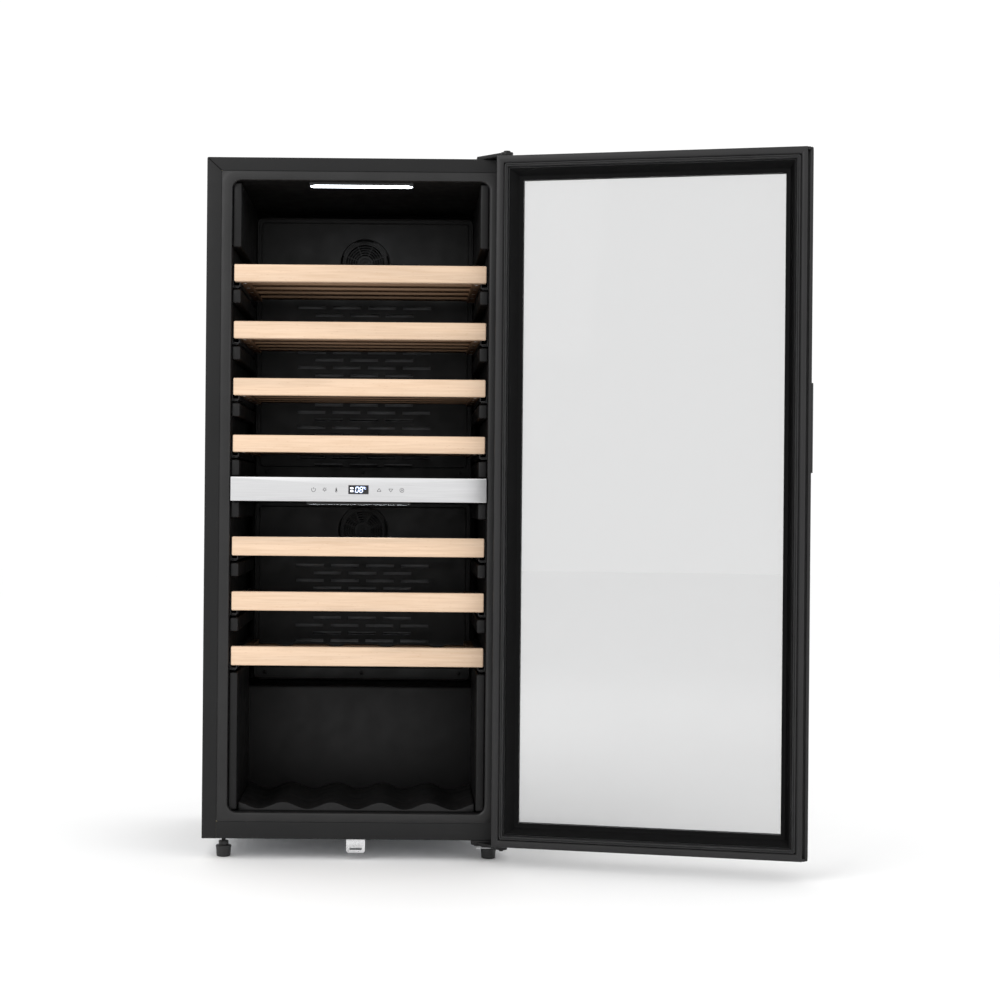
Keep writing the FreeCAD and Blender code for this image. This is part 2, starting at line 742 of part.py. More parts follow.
def make_shelf(k, top):
    """Pull-out wooden shelf: front board, side beams, slats with bottle seats, inner slides."""
    name = "shelf_%d" % (k + 1)
    low = top - front_height(k)
    half = OPEN_HALF - FRONT_SIDE_GAP
    board = box((-half, half), (FRONT_SETBACK, FRONT_SETBACK + FRONT_T), (low, top))
    board = rounded(board, FRONT_ROUND, X)
    put(name, board)
    run = (SLIDE_Y, SLIDE_END)
    beam = box((BEAM_OUT - BEAM_W, BEAM_OUT), run, (low, low + BEAM_H))
    put(name, beam, mirrored(beam))
    inside = BEAM_OUT - BEAM_W
    slat_z = (low + SLAT_LIFT, low + SLAT_LIFT + SLAT_T)
    pitch = (SLIDE_L - SLAT_W) / (SLATS - 1)
    seats = []
    for s in range(BOTTLE_SEATS):
        x = (s - (BOTTLE_SEATS - 1) / 2) * BOTTLE_PITCH
        seats.append(rod((x, SLIDE_Y - 1, slat_z[1] + BOTTLE_R - SEAT_DEPTH), Y, BOTTLE_R, SLIDE_L + 2))
    for s in range(SLATS):
        y = SLIDE_Y + SLAT_W / 2 + pitch * s
        put(name, box((-inside, inside), around(y, SLAT_W), slat_z).cut(seats))
    slide_z = (low - SLIDE_DROP, low - SLIDE_DROP + SLIDE_H)
    inset = SLIDE_T + FIT
    outer = channel((OPEN_HALF, BEAM_OUT + inset), run, slide_z, SLIDE_T)
    put("fixed_slides", outer, mirrored(outer))
    inner = channel((BEAM_OUT, OPEN_HALF - inset), run, grow(slide_z, -inset), SLIDE_T)
    put(name, inner, mirrored(inner))


def make_cradle():
    """Ribbed tray on the compartment floor that keeps the lowest bottles apart."""
    half = OPEN_HALF - OPEN_R - CRADLE_SIDE_GAP
    low = OPEN_LOW
    y = (LEDGE_SETBACK + CRADLE_FRONT_GAP, STEP_Y - CRADLE_BACK_GAP)
    tray = box((-half, half), y, (low, low + CRADLE_H))
    grooves = []
    for s in range(CRADLE_SEATS):
        x = (s - (CRADLE_SEATS - 1) / 2) * CRADLE_PITCH
        grooves.append(rod((x, 0, low + CRADLE_FLOOR + BOTTLE_R), Y, BOTTLE_R, STEP_Y))
    put("floor_cradle", tray.cut(grooves))


# ---------------------------------------------------------------- door, modelled closed

def door_ring(insets, depth, shift=(0.0, 0.0), rise=0.0):
    """Rectangular ring between two insets from the door's edges and two depths from its inner face.

    The shifts move the ring inward on the free side only. The rise makes its opening taller."""
    y = (-(DOOR_GAP + depth[1]), -(DOOR_GAP + depth[0]))
    return door_block(insets[0], y, shift[0]).cut(door_block(insets[1], grow(y, 1), shift[1], rise))


def grow(pair, by):
    """A (low, high) pair made longer at both ends."""
    return (pair[0] - by, pair[1] + by)


def door_block(inset, y, shift=0.0, rise=0.0):
    """Block inset from the door's edges."""
    x = (-DOOR_HALF + inset + shift, DOOR_HALF - inset)
    return box(x, y, (DOOR_LOW + inset - rise, DOOR_TOP - inset + rise))


def bevel_tool(inset_a, inset_b, depth_a, depth_b, shift_a):
    """Solid between two rectangles, which cuts the sloping sides of the inner trim."""
    wires = []
    for inset, depth, shift, rise in ((inset_a, depth_a, shift_a, 0.0), (inset_b, depth_b, 0.0, BORDER_RISE)):
        y = -(DOOR_GAP + depth)
        x0 = -DOOR_HALF + inset + shift
        x1 = DOOR_HALF - inset
        z0 = DOOR_LOW + inset - rise
        z1 = DOOR_TOP - inset + rise
        corners = [V(x0, y, z0), V(x1, y, z0), V(x1, y, z1), V(x0, y, z1), V(x0, y, z0)]
        wires.append(Part.makePolygon(corners))
    return Part.makeLoft(wires, True, True)


def make_door():
    """Framed double-glazed door with its seal, bushes and edge handle, then swung open."""
    face = DOOR_T - OUTER_GLASS_T
    seal_end = SEAL_INSET + SEAL_W + SEAL_WALL
    shift = (0.0, FREE_SHIFT)
    front_ring = door_ring((0, seal_end), (0, INNER_GLASS_AT), shift)
    wall_ring = door_ring((0, DOOR_WALL), (INNER_GLASS_AT, face))
    groove = door_ring((SEAL_INSET, SEAL_INSET + SEAL_W), (-1, SEAL_DEPTH), (FREE_SHIFT, FREE_SHIFT))
    frame = fuse([front_ring, wall_ring]).cut(groove)
    slot_x = (-DOOR_HALF + FREE_STRIP, -DOOR_HALF + FREE_STRIP + FREE_SLOT_W)
    slot = box(slot_x, (-(DOOR_GAP + FREE_SLOT_D), 0), (DOOR_LOW - 1, DOOR_TOP + 1))
    strip = box((-DOOR_HALF - 1, slot_x[0]), (-(DOOR_GAP + FREE_STEP), 0), (DOOR_LOW - 1, DOOR_TOP + 1))
    frame = frame.cut([slot, strip])
    free = edges_where(frame, lambda b: b.XMax < -DOOR_HALF + EDGE_EPS and b.YLength > FREE_STEP)
    frame = frame.makeFillet(DOOR_CORNER_R, free)
    bushes = []
    for end, sign in ((DOOR_TOP, 1), (DOOR_LOW, -1)):
        axis = Z * sign
        bore = rod((PIVOT_X, PIVOT_Y, end - sign * BUSH_L), axis, BUSH_R, BUSH_L + 2)
        frame = frame.cut(bore)
        sleeve = rod((PIVOT_X, PIVOT_Y, end - sign * BUSH_L), axis, BUSH_R, BUSH_L)
        collar = rod((PIVOT_X, PIVOT_Y, end), axis, BUSH_COLLAR_R, HINGE_CLEAR - FIT)
        hole = rod((PIVOT_X, PIVOT_Y, end - sign * (BUSH_L + 1)), axis, PIN_R + RUN_FIT, BUSH_L + 4)
        bushes.append(fuse([sleeve, collar]).cut(hole))
    trim_in = TRIM_FACE + seal_end
    strip_at = DOOR_BORDER - TRIM_STRIP
    trim = door_ring((seal_end, DOOR_BORDER), (TRIM_FACE, INNER_GLASS_AT), (FREE_SHIFT, 0), BORDER_RISE)
    trim = trim.cut(bevel_tool(trim_in, strip_at, TRIM_FACE, INNER_GLASS_AT - TRIM_LIP, FREE_SHIFT))
    seal_base = door_ring((SEAL_INSET, SEAL_INSET + SEAL_W), (0, SEAL_DEPTH), (FREE_SHIFT, FREE_SHIFT))
    bulb = door_ring((SEAL_INSET + SEAL_LIP, SEAL_INSET + SEAL_W - SEAL_LIP), (-DOOR_GAP + SEAL_BULB_GAP, 0),
                     (FREE_SHIFT, FREE_SHIFT))
    glass_in = DOOR_WALL + GLASS_EDGE_GAP
    inner_y = (-(DOOR_GAP + INNER_GLASS_AT + INNER_GLASS_T), -(DOOR_GAP + INNER_GLASS_AT))
    outer_y = (-(DOOR_GAP + DOOR_T), -(DOOR_GAP + face))
    outer = rounded(door_block(0, outer_y), DOOR_CORNER_R, Y)
    spacer_in = glass_in + GLASS_EDGE_GAP
    spacer = door_ring((spacer_in, spacer_in + SPACER_W), (INNER_GLASS_AT + INNER_GLASS_T, face))
    pieces = {
        "door_frame": [frame],
        "door_inner_trim": [trim],
        "door_gasket": [fuse([seal_base, bulb])],
        "door_outer_glass": [outer],
        "door_inner_glass": [door_block(glass_in, inner_y)],
        "glass_spacer": [spacer],
        "door_bushes": bushes,
        "door_handle": [handle()],
    }
    for name, solids in pieces.items():
        for solid in solids:
            solid.rotate(V(PIVOT_X, PIVOT_Y, 0), Z, DOOR_OPEN)
            put(name, solid)


def handle():
    """Edge pull: a plate on the free edge, carried forward and turned in to a finger lip."""
    edge = -DOOR_HALF
    glass = -(DOOR_GAP + DOOR_T)
    tip = glass - HANDLE_REACH
    z = around(HANDLE_Z, HANDLE_L)
    plate = box((edge - HANDLE_T, edge), (tip, glass + HANDLE_PLATE_D), z)
    lip = box((edge - HANDLE_T, edge + HANDLE_LIP), (tip, tip + HANDLE_LIP_T), z)
    pull = fuse([plate, lip])
    upright = HANDLE_L / 2
    corner = edges_where(pull, lambda b: b.ZLength > upright and b.XMax < edge and b.YMax < tip + EDGE_EPS)
    return pull.makeFillet(HANDLE_BEND_R, corner)


# ---------------------------------------------------------------- hinges, feet, strike

def hinge_plate(z, leaf_y):
    """Flat leaf on the cabinet with an arm that tapers to the pivot."""
    corners = [
        V(HINGE_LEFT, leaf_y, z[0]), V(HINGE_RIGHT, leaf_y, z[0]), V(HINGE_RIGHT, 0, z[0]),
        V(PIVOT_X + ARM_R, PIVOT_Y, z[0]), V(PIVOT_X - ARM_R, PIVOT_Y, z[0]),
        V(HINGE_LEFT, HINGE_TAPER_Y, z[0]), V(HINGE_LEFT, leaf_y, z[0]),
    ]
    leaf = Part.Face(Part.makePolygon(corners)).extrude(V(0, 0, z[1] - z[0]))
    end = rod((PIVOT_X, PIVOT_Y, z[0]), Z, ARM_R, z[1] - z[0])
    return fuse([leaf, end])


def make_hinges():
    """Top and bottom hinge plates with fixed pins, and the screws that hold them."""
    top_z = (TOP_Z, TOP_Z + HINGE_T)
    plate = hinge_plate(top_z, HINGE_LEAF_D)
    screws_x = [HALF_W - HINGE_SCREW_IN, HALF_W - HINGE_SCREW_IN - HINGE_SCREW_PITCH]
    pin_low = DOOR_TOP - BUSH_L + FIT
    shank = rod((PIVOT_X, PIVOT_Y, pin_low), Z, PIN_R, top_z[1] + PIN_HEAD_H - pin_low)
    head = rod((PIVOT_X, PIVOT_Y, top_z[1]), Z, PIN_HEAD_R, PIN_HEAD_H)
    put("top_hinge", fuse([plate, shank, head]))
    low_z = (LEAF_TOP - HINGE_T, LEAF_TOP)
    low_back = FOOT_FRONT + LOW_LEAF_PAST_FOOT
    leaf = hinge_plate(low_z, low_back)
    pad = box((HINGE_LEFT, HINGE_RIGHT), (HINGE_PAD_Y, low_back), (LEAF_TOP, BASE_Z))
    pin_low = low_z[0] - PIN_HEAD_H
    pin = rod((PIVOT_X, PIVOT_Y, pin_low), Z, PIN_R, DOOR_LOW + BUSH_L - FIT - pin_low)
    foot_x, foot_y = foot_places()["front_right"]
    hole = rod((foot_x, foot_y, pin_low), Z, STUD_R + FIT, BASE_Z + 1 - pin_low)
    put("bottom_hinge", fuse([leaf, pad, pin]).cut(hole))
    for x in screws_x:
        top_y = HINGE_LEAF_D - HINGE_SCREW_BACK
        low_y = low_back - LOW_SCREW_BACK
        put("hinge_screws", rod((x, top_y, top_z[1]), Z, HINGE_SCREW_R, HINGE_SCREW_H))
        put("hinge_screws", rod((x, low_y, low_z[0] - HINGE_SCREW_H), Z, HINGE_SCREW_R, HINGE_SCREW_H))


def make_feet():
    """Screw-in levelling feet and the nylon sockets that they turn in."""
    for name, (x, y) in foot_places().items():
        pad = cone((x, y, 0), Z, FOOT_BASE_R, FOOT_TOP_R, FOOT_PAD_H)
        neck = rod((x, y, FOOT_PAD_H), Z, FOOT_NECK_R, FOOT_NECK_TOP - FOOT_PAD_H)
        stud = rod((x, y, FOOT_NECK_TOP), Z, STUD_R, BASE_Z + STUD_INTO - FOOT_NECK_TOP)
        put("foot_" + name, fuse([pad, neck, stud]))
        low = BASE_Z + BASE_T if y > MACHINE_Y else BASE_Z
        socket = rod((x, y, low), Z, SOCKET_R, BASE_Z + SOCKET_H - low)
        socket = socket.cut(rod((x, y, low - 1), Z, STUD_R + RUN_FIT, SOCKET_H + 2))
        put("foot_sockets", socket)


def make_strike():
    """Slotted tab under the front rail that the door lock catches."""
    leg_z = (BASE_Z - STRIKE_T, BASE_Z)
    tab_y = (STRIKE_SETBACK, STRIKE_SETBACK + STRIKE_T)
    low = BASE_Z - STRIKE_T - STRIKE_H
    tab = box(around(0, STRIKE_W), tab_y, (low, leg_z[1]))
    corners = edges_where(tab, lambda b: b.ZMax < low + EDGE_EPS and b.XLength < EDGE_EPS)
    tab = tab.makeFillet(STRIKE_CORNER_R, corners)
    leg = box(around(0, STRIKE_W), (STRIKE_SETBACK, STRIKE_SETBACK + STRIKE_LEG), leg_z)
    slot = box(around(0, STRIKE_SLOT_W), grow(tab_y, 1), around(low + STRIKE_SLOT_UP, STRIKE_SLOT_H))
    put("lock_strike", fuse([tab, leg]).cut(slot))


# ---------------------------------------------------------------- machine room and condenser

def make_compressor():
    """Hermetic compressor on rubber mounts, its base sheet, start box, dryer, pipes and tray."""
    half = HALF_W - SHEET
    base = box((-half, half), (MACHINE_Y, CAB_D - GRILLE_T), (BASE_Z, BASE_Z + BASE_T))
    for x, y in foot_places().values():
        base = base.cut(rod((x, y, BASE_Z - 1), Z, STUD_R + FIT, BASE_T + 2))
    put("compressor_base", base)
    y = MACHINE_MID_Y
    mount_z = BASE_Z + BASE_T
    plate_z = mount_z + GROMMET_H
    body_z = plate_z + COMP_PLATE_T
    for sx in (-1, 1):
        for sy in (-1, 1):
            x = COMP_X + sx * (COMP_PLATE_W / 2 - GROMMET_R)
            mount_y = y + sy * (COMP_PLATE_D / 2 - GROMMET_R)
            put("compressor_mounts", rod((x, mount_y, mount_z), Z, GROMMET_R, GROMMET_H))
    plate = box(around(COMP_X, COMP_PLATE_W), around(y, COMP_PLATE_D), (plate_z, body_z))
    plate = rounded(plate, COMP_PLATE_R, Z)
    shoulder = body_z + COMP_WALL_H
    top = shoulder + COMP_DOME_H
    wall = rod((COMP_X, y, body_z), Z, COMP_R, COMP_WALL_H)
    dome_r = (COMP_R ** 2 + COMP_DOME_H ** 2) / (2 * COMP_DOME_H)
    ball = Part.makeSphere(dome_r, V(COMP_X, y, top - dome_r))
    dome = ball.common(rod((COMP_X, y, shoulder), Z, COMP_R, COMP_DOME_H + 1))
    stub_top = top + STUB_H
    suction = COMP_X + SUCTION_OFF
    discharge = COMP_X + DISCHARGE_OFF
    stubs = [rod((x, y, shoulder), Z, STUB_R, stub_top - shoulder) for x in (suction, discharge)]
    terminal_z = body_z + COMP_TERMINAL_UP
    side = COMP_X + COMP_R
    pad_x = (side - TERMINAL_IN, side + TERMINAL_OUT)
    pad = box(pad_x, around(y, TERMINAL_D), around(terminal_z, TERMINAL_H))
    put("compressor", fuse([plate, wall, dome, pad] + stubs))
    start_x = (side + TERMINAL_OUT, side + TERMINAL_OUT + START_BOX_W)
    start = box(start_x, around(y, START_BOX_D), around(terminal_z, START_BOX_H))
    put("start_box", rounded(start, START_BOX_R, X))
    roof = MACHINE_TOP
    level = stub_top + PIPE_RISE
    pipes = []
    for x, run in ((suction, SUCTION_RUN), (discharge, DISCHARGE_RUN)):
        pipes.append([(x, y, stub_top), (x, y, level), (x + run, y, level), (x + run, y, roof)])
    dryer_y = y + DRYER_BACK
    dryer_z = BASE_Z + DRYER_UP
    dryer_top = dryer_z + DRYER_L
    body = rod((DRYER_X, dryer_y, dryer_z), Z, DRYER_R, DRYER_L)
    ends = [cone((DRYER_X, dryer_y, dryer_top), Z, DRYER_R, PIPE_R, DRYER_CONE),
            cone((DRYER_X, dryer_y, dryer_z), -Z, DRYER_R, PIPE_R, DRYER_CONE)]
    put("filter_dryer", fuse([body] + ends))
    pipes.append([(DRYER_X, dryer_y, dryer_top + DRYER_CONE), (DRYER_X, dryer_y, roof)])
    low = dryer_z - DRYER_CONE
    loop = low - 2 * PIPE_BEND
    pipes.append([(DRYER_X, dryer_y, low), (DRYER_X, dryer_y, loop), (DRYER_X - DRYER_RUN, dryer_y, loop),
                  (DRYER_X - DRYER_RUN, dryer_y, roof)])
    for path in pipes:
        put("refrigerant_pipes", tube_along(path, PIPE_R, PIPE_BEND))
    tray_x = (-half + TRAY_SIDE_GAP, DRYER_X - TRAY_DRYER_GAP)
    tray_y = (MACHINE_Y + TRAY_FRONT_GAP, CAB_D - TRAY_BACK_GAP)
    floor = BASE_Z + BASE_T
    tray = box(tray_x, tray_y, (floor, floor + TRAY_H))
    inner = box(grow(tray_x, -TRAY_T), grow(tray_y, -TRAY_T), (floor + TRAY_T, floor + TRAY_H + 1))
    put("drip_tray", tray.cut(inner))


def make_rear_grille():
    """Slotted rear cover of the machine room, with the mains inlet set in it."""
    half = HALF_W - SHEET
    low = BASE_Z
    high = MACHINE_TOP
    y = (CAB_D - GRILLE_T, CAB_D)
    inlet_z = high - INLET_DROP
    plate = box((-half, half), y, (low, high))
    field_low = low + GRILLE_MARGIN
    row = (high - GRILLE_TOP_MARGIN - field_low) / (GRILLE_SLOTS - 1)
    column = 2 * (half - GRILLE_MARGIN) / GRILLE_COLUMNS
    slots = []
    for k in range(GRILLE_SLOTS):
        slot_z = around(field_low + row * k, GRILLE_SLOT_H)
        for c in range(GRILLE_COLUMNS):
            x = (c - (GRILLE_COLUMNS - 1) / 2) * column
            slots.append(box(around(x, column - GRILLE_BRIDGE), grow(y, 1), slot_z))
    body_x = around(INLET_X, INLET_W - 2 * INLET_EAR)
    body_z = around(inlet_z, INLET_H - 2 * INLET_RIM)
    slots.append(box(body_x, grow(y, 1), body_z))
    put("rear_grille", plate.cut(slots))
    flange = box(around(INLET_X, INLET_W), (CAB_D, CAB_D + INLET_FLANGE_T), around(inlet_z, INLET_H))
    flange = rounded(flange, INLET_CORNER_R, Y)
    deep = CAB_D - INLET_DEPTH
    body = box(body_x, (deep, CAB_D), body_z)
    mouth_y = (deep + INLET_FLOOR, CAB_D + INLET_FLANGE_T + 1)
    mouth = box(grow(body_x, -INLET_WALL), mouth_y, grow(body_z, -INLET_WALL))
    inlet = fuse([flange, body]).cut(mouth)
    blades = []
    blade_y = (deep + INLET_FLOOR - BLADE_ROOT, CAB_D - BLADE_SETBACK)
    for place in (-1, 0, 1):
        x = INLET_X + place * BLADE_SPREAD
        z = inlet_z + BLADE_STEP * (2 * abs(place) - 1)
        blades.append(box(around(x, BLADE_W), blade_y, around(z, BLADE_H)))
    put("mains_inlet", fuse([inlet] + blades))
    for x in (-half + REAR_SCREW_IN, 0, half - REAR_SCREW_IN):
        for z in (low + REAR_SCREW_IN, high - REAR_SCREW_IN):
            put("rear_screws", rod((x, CAB_D, z), Y, REAR_SCREW_R, REAR_SCREW_H))


def make_condenser():
    """Wire-on-tube condenser on stand-off clips behind the back panel."""
    side = HALF_W - COIL_SIDE_GAP
    low = MACHINE_TOP + COIL_LOW_GAP
    high = TOP_Z - COIL_TOP_GAP
    put("condenser_coil", serpentine((-side, side), (low, high), COIL_Y, COIL_PASSES, COIL_R))
    wire_y = COIL_Y + COIL_R + WIRE_R
    pitch = (high - low) / (COIL_PASSES - 1)
    reach = side - pitch / 2 - WIRE_BEND_GAP
    for k in range(WIRES):
        x = -reach + 2 * reach * k / (WIRES - 1)
        put("condenser_wires", rod((x, wire_y, low - WIRE_OVER), Z, WIRE_R, high - low + 2 * WIRE_OVER))
    for sx in (-1, 1):
        for z in (low, high):
            clip = box(around(sx * (reach - CLIP_IN), CLIP_W), (CAB_D, COIL_Y - COIL_R), around(z, CLIP_H))
            put("condenser_clips", clip)


# ---------------------------------------------------------------- assembly

def build():
    """Makes every node, in the modelling frame."""
    make_casing()
    make_bottom_rail()
    make_base_pan()
    make_back_panel()
    make_liner()
    make_foam()
    make_ledges()
    make_divider()
    make_controls()
    make_light(OPEN_TOP)
    make_light(DIVIDER_Z)
    upper = (DIVIDER_TOP + FIT, OPEN_TOP - LINER_BACK_R - COVER_GAP)
    lower = (STEP_Z + FIT, DIVIDER_Z - FIT)
    first_slot = SHELF_TOPS[0] - FRONT_H_UPPER
    last_slot = SHELF_TOPS[SHELVES_UPPER - 1] - 2 * FRONT_H_UPPER
    make_duct_cover("upper_duct_cover", upper, UPPER_FAN_Z, (last_slot, first_slot))
    lower_field = (STEP_Z + EVAP_FAN_GAP, LOWER_FAN_Z - GUARD_R - LOWER_EVAP_GAP)
    make_duct_cover("lower_duct_cover", lower, LOWER_FAN_Z, lower_field)
    make_fan("upper_fan_rotor", UPPER_FAN_Z)
    make_fan("lower_fan_rotor", LOWER_FAN_Z)
    make_evaporator((upper[0] + EVAP_FAN_GAP, UPPER_FAN_Z - GUARD_R - EVAP_FAN_GAP))
    make_evaporator(lower_field)
    for k, top in enumerate(SHELF_TOPS):
        make_shelf(k, top)
    make_cradle()
    make_door()
    make_hinges()
    make_feet()
    make_strike()
    make_compressor()
    make_rear_grille()
    make_condenser()


def origin_shift():
    """Move from the modelling frame to the bottom centre of the whole object's box."""
    whole = Part.makeCompound([s for solids in nodes.values() for s in solids]).BoundBox
    return V(-(whole.XMin + whole.XMax) / 2, -(whole.YMin + whole.YMax) / 2, 0)


build()
shift = origin_shift()
os.makedirs("parts", exist_ok=True)
for node_name, solids in nodes.items():
    for solid in solids:
        solid.translate(shift)
    shape = solids[0] if len(solids) == 1 else Part.makeCompound(solids)
    shape.exportStep("parts/" + node_name + ".step")
print(len(nodes), "nodes, moved by", shift)
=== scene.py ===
"""Looks of a free-standing wine cooler with its glass door opened wide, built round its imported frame.

Every place comes from the frame: sizes of boards, ledges, slides and plates are read from the nodes, and the
door is dressed as if closed and then swung about its hinge like the frame's own door."""

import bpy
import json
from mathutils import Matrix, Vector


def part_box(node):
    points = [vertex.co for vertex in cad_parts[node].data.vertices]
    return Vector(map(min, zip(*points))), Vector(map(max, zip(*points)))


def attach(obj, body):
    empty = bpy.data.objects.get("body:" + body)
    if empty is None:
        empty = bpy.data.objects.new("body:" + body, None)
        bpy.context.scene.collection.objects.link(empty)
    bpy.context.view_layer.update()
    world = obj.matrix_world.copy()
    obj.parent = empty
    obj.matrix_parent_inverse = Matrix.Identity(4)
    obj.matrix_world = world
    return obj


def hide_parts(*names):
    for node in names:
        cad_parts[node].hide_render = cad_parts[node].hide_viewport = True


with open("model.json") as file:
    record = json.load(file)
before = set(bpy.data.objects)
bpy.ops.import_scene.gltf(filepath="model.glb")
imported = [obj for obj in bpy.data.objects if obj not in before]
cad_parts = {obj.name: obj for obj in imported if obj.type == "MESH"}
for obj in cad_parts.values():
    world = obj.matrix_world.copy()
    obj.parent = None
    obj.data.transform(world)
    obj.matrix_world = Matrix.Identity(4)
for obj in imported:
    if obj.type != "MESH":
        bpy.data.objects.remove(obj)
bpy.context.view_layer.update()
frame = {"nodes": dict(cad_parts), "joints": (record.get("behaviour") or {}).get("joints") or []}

import json
import logging
import math
from dataclasses import dataclass, field
from enum import Enum
from typing import Callable, Iterable, Optional, Sequence

import bmesh
import bpy
from mathutils import Matrix, Vector

LOG = logging.getLogger("wine_cooler")
MM = 0.001
Span = tuple[float, float]
Loop = list[Vector]
Colour = tuple[float, float, float]
Offset = tuple[float, float, float]
Plan = Sequence[tuple[float, float]]
Mesh = bmesh.types.BMesh
Socket = bpy.types.NodeSocket


# ---------------------------------------------------------------- the frame's places


@dataclass(frozen=True)
class Box:
    """A box in the row frame, in metres.

    Attributes:
        low: lowest corner.
        high: highest corner.
    """

    low: Vector
    high: Vector

    @property
    def size(self) -> Vector:
        """Edge lengths."""
        return self.high - self.low

    @property
    def centre(self) -> Vector:
        """Middle point."""
        return (self.low + self.high) / 2


def node_box(node: str) -> Box:
    """Box of a frame node at rest."""
    return Box(*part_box(node))


def box_round(points: Sequence[Vector]) -> Box:
    """Smallest box that holds points."""
    return Box(Vector(min(p[i] for p in points) for i in range(3)),
               Vector(max(p[i] for p in points) for i in range(3)))


def merged_mesh(node: str) -> Mesh:
    """A frame node's mesh with its doubled vertices merged and its flat faces joined.

    Args:
        node: name of the frame node.

    Returns:
        A new bmesh in the row frame.
    """
    bm = bmesh.new()
    bm.from_mesh(frame["nodes"][node].data)
    bmesh.ops.remove_doubles(bm, verts=bm.verts, dist=2e-6)
    bmesh.ops.dissolve_limit(bm, angle_limit=math.radians(0.5), verts=bm.verts, edges=bm.edges)
    return bm


def solid_boxes(node: str) -> list[Box]:
    """Boxes of the separate solids in a node.

    Args:
        node: name of the frame node.

    Returns:
        One box for each connected solid, sorted from low to high and left to right.
    """
    bm = merged_mesh(node)
    seen: set[int] = set()
    found = []
    bm.verts.ensure_lookup_table()
    for start in bm.verts:
        if start.index in seen:
            continue
        stack, members = [start], []
        seen.add(start.index)
        while stack:
            vert = stack.pop()
            members.append(vert.co.copy())
            for edge in vert.link_edges:
                other = edge.other_vert(vert)
                if other.index not in seen:
                    seen.add(other.index)
                    stack.append(other)
        found.append(box_round(members))
    bm.free()
    return sorted(found, key=lambda b: (round(b.low.z, 4), round(b.low.x, 4), round(b.low.y, 4)))


SLIDE_SHEET = 1.8 * MM
CASING = node_box("outer_casing")
MIDDLE_X = CASING.centre.x
FRONT_Y = CASING.low.y
HINGE = next(joint for joint in frame["joints"] if joint["name"] == "door_swing")
PIVOT = Vector(HINGE["pos_m"])
OPEN_ANGLE = math.radians(-HINGE["range_deg"][0])
SWING = Matrix.Translation(PIVOT) @ Matrix.Rotation(OPEN_ANGLE, 4, "Z") @ Matrix.Translation(-PIVOT)


def closed_box(node: str) -> Box:
    """Box of a door node as it would be with the door closed."""
    back = SWING.inverted()
    return box_round([back @ v.co for v in frame["nodes"][node].data.vertices])


# ---------------------------------------------------------------- mesh work


def upright(x: float, z: float, y: float) -> Vector:
    """Point of an outline that is drawn in the front plane, at a depth."""
    return Vector((x, y, z))


def full_turn(steps: int) -> list[tuple[float, float]]:
    """Cosine and sine of equal steps round a full turn."""
    angles = [2 * math.pi * k / steps for k in range(steps)]
    return [(math.cos(a), math.sin(a)) for a in angles]


def rounded_loop(x: Span, z: Span, y: float, radius: float, steps: int = 6) -> Loop:
    """Points round a rectangle with rounded corners, in a plane of constant y.

    Args:
        x: left and right sides.
        z: lower and upper sides.
        y: the plane.
        radius: corner radius; a tiny one keeps the corner sharp.
        steps: segments in each corner.

    Returns:
        The loop's points, counter-clockwise as seen from the front.
    """
    radius = max(radius, 1e-5)
    corners = ((x[1] - radius, z[0] + radius, -90), (x[1] - radius, z[1] - radius, 0),
               (x[0] + radius, z[1] - radius, 90), (x[0] + radius, z[0] + radius, 180))
    loop = []
    for cx, cz, start in corners:
        for k in range(steps + 1):
            angle = math.radians(start + 90 * k / steps)
            loop.append(Vector((cx + radius * math.cos(angle), y, cz + radius * math.sin(angle))))
    return loop


def loft(loops: Sequence[Loop], closed: bool = False) -> Mesh:
    """Skin through loops with the same number of points.

    Args:
        loops: the loops, in order.
        closed: joins the last loop to the first; otherwise both ends are capped.

    Returns:
        A closed bmesh with its normals facing out.
    """
    bm = bmesh.new()
    rows = [[bm.verts.new(p) for p in loop] for loop in loops]
    pairs = list(zip(rows, rows[1:])) + ([(rows[-1], rows[0])] if closed else [])
    for a, b in pairs:
        for k in range(len(a)):
            n = (k + 1) % len(a)
            bm.faces.new((a[k], a[n], b[n], b[k]))
    if not closed:
        bm.faces.new(list(reversed(rows[0])))
        bm.faces.new(rows[-1])
    bmesh.ops.remove_doubles(bm, verts=bm.verts, dist=1e-6)
    bmesh.ops.recalc_face_normals(bm, faces=bm.faces)
    return bm


def swept_ring(x: Span, z: Span, profile: Sequence[tuple[float, ...]], radius: float = 0.0) -> Mesh:
    """Closed profile carried round a rectangle with mitred corners.

    Args:
        x: outer left and right sides.
        z: outer lower and upper sides.
        profile: (inset, y) points in order round the profile, each with an optional extra inset of the left
            side and an optional outward move of the lower and upper sides.
        radius: radius of the rectangle's outer corners.

    Returns:
        A closed bmesh.
    """
    loops = []
    for inset, y, *extra in profile:
        shift, rise = (*extra, 0.0, 0.0)[:2]
        sides = (x[0] + inset + shift, x[1] - inset)
        loops.append(rounded_loop(sides, (z[0] + inset - rise, z[1] - inset + rise), y, radius - inset, 4))
    return loft(loops, closed=True)


def softened(bm: Mesh, width: float, segments: int = 2, angle: float = 32.0) -> Mesh:
    """Rounds the sharp edges of a mesh.

    Args:
        bm: the mesh, changed in place.
        width: width of the rounding.
        segments: segments across it.
        angle: edges sharper than this many degrees are rounded.

    Returns:
        The same bmesh.
    """
    limit = math.radians(angle)
    sharp = [e for e in bm.edges if len(e.link_faces) == 2 and e.calc_face_angle(0.0) > limit]
    bmesh.ops.bevel(bm, geom=sharp, offset=width, segments=segments, profile=0.5, affect="EDGES",
                    clamp_overlap=True)
    return bm


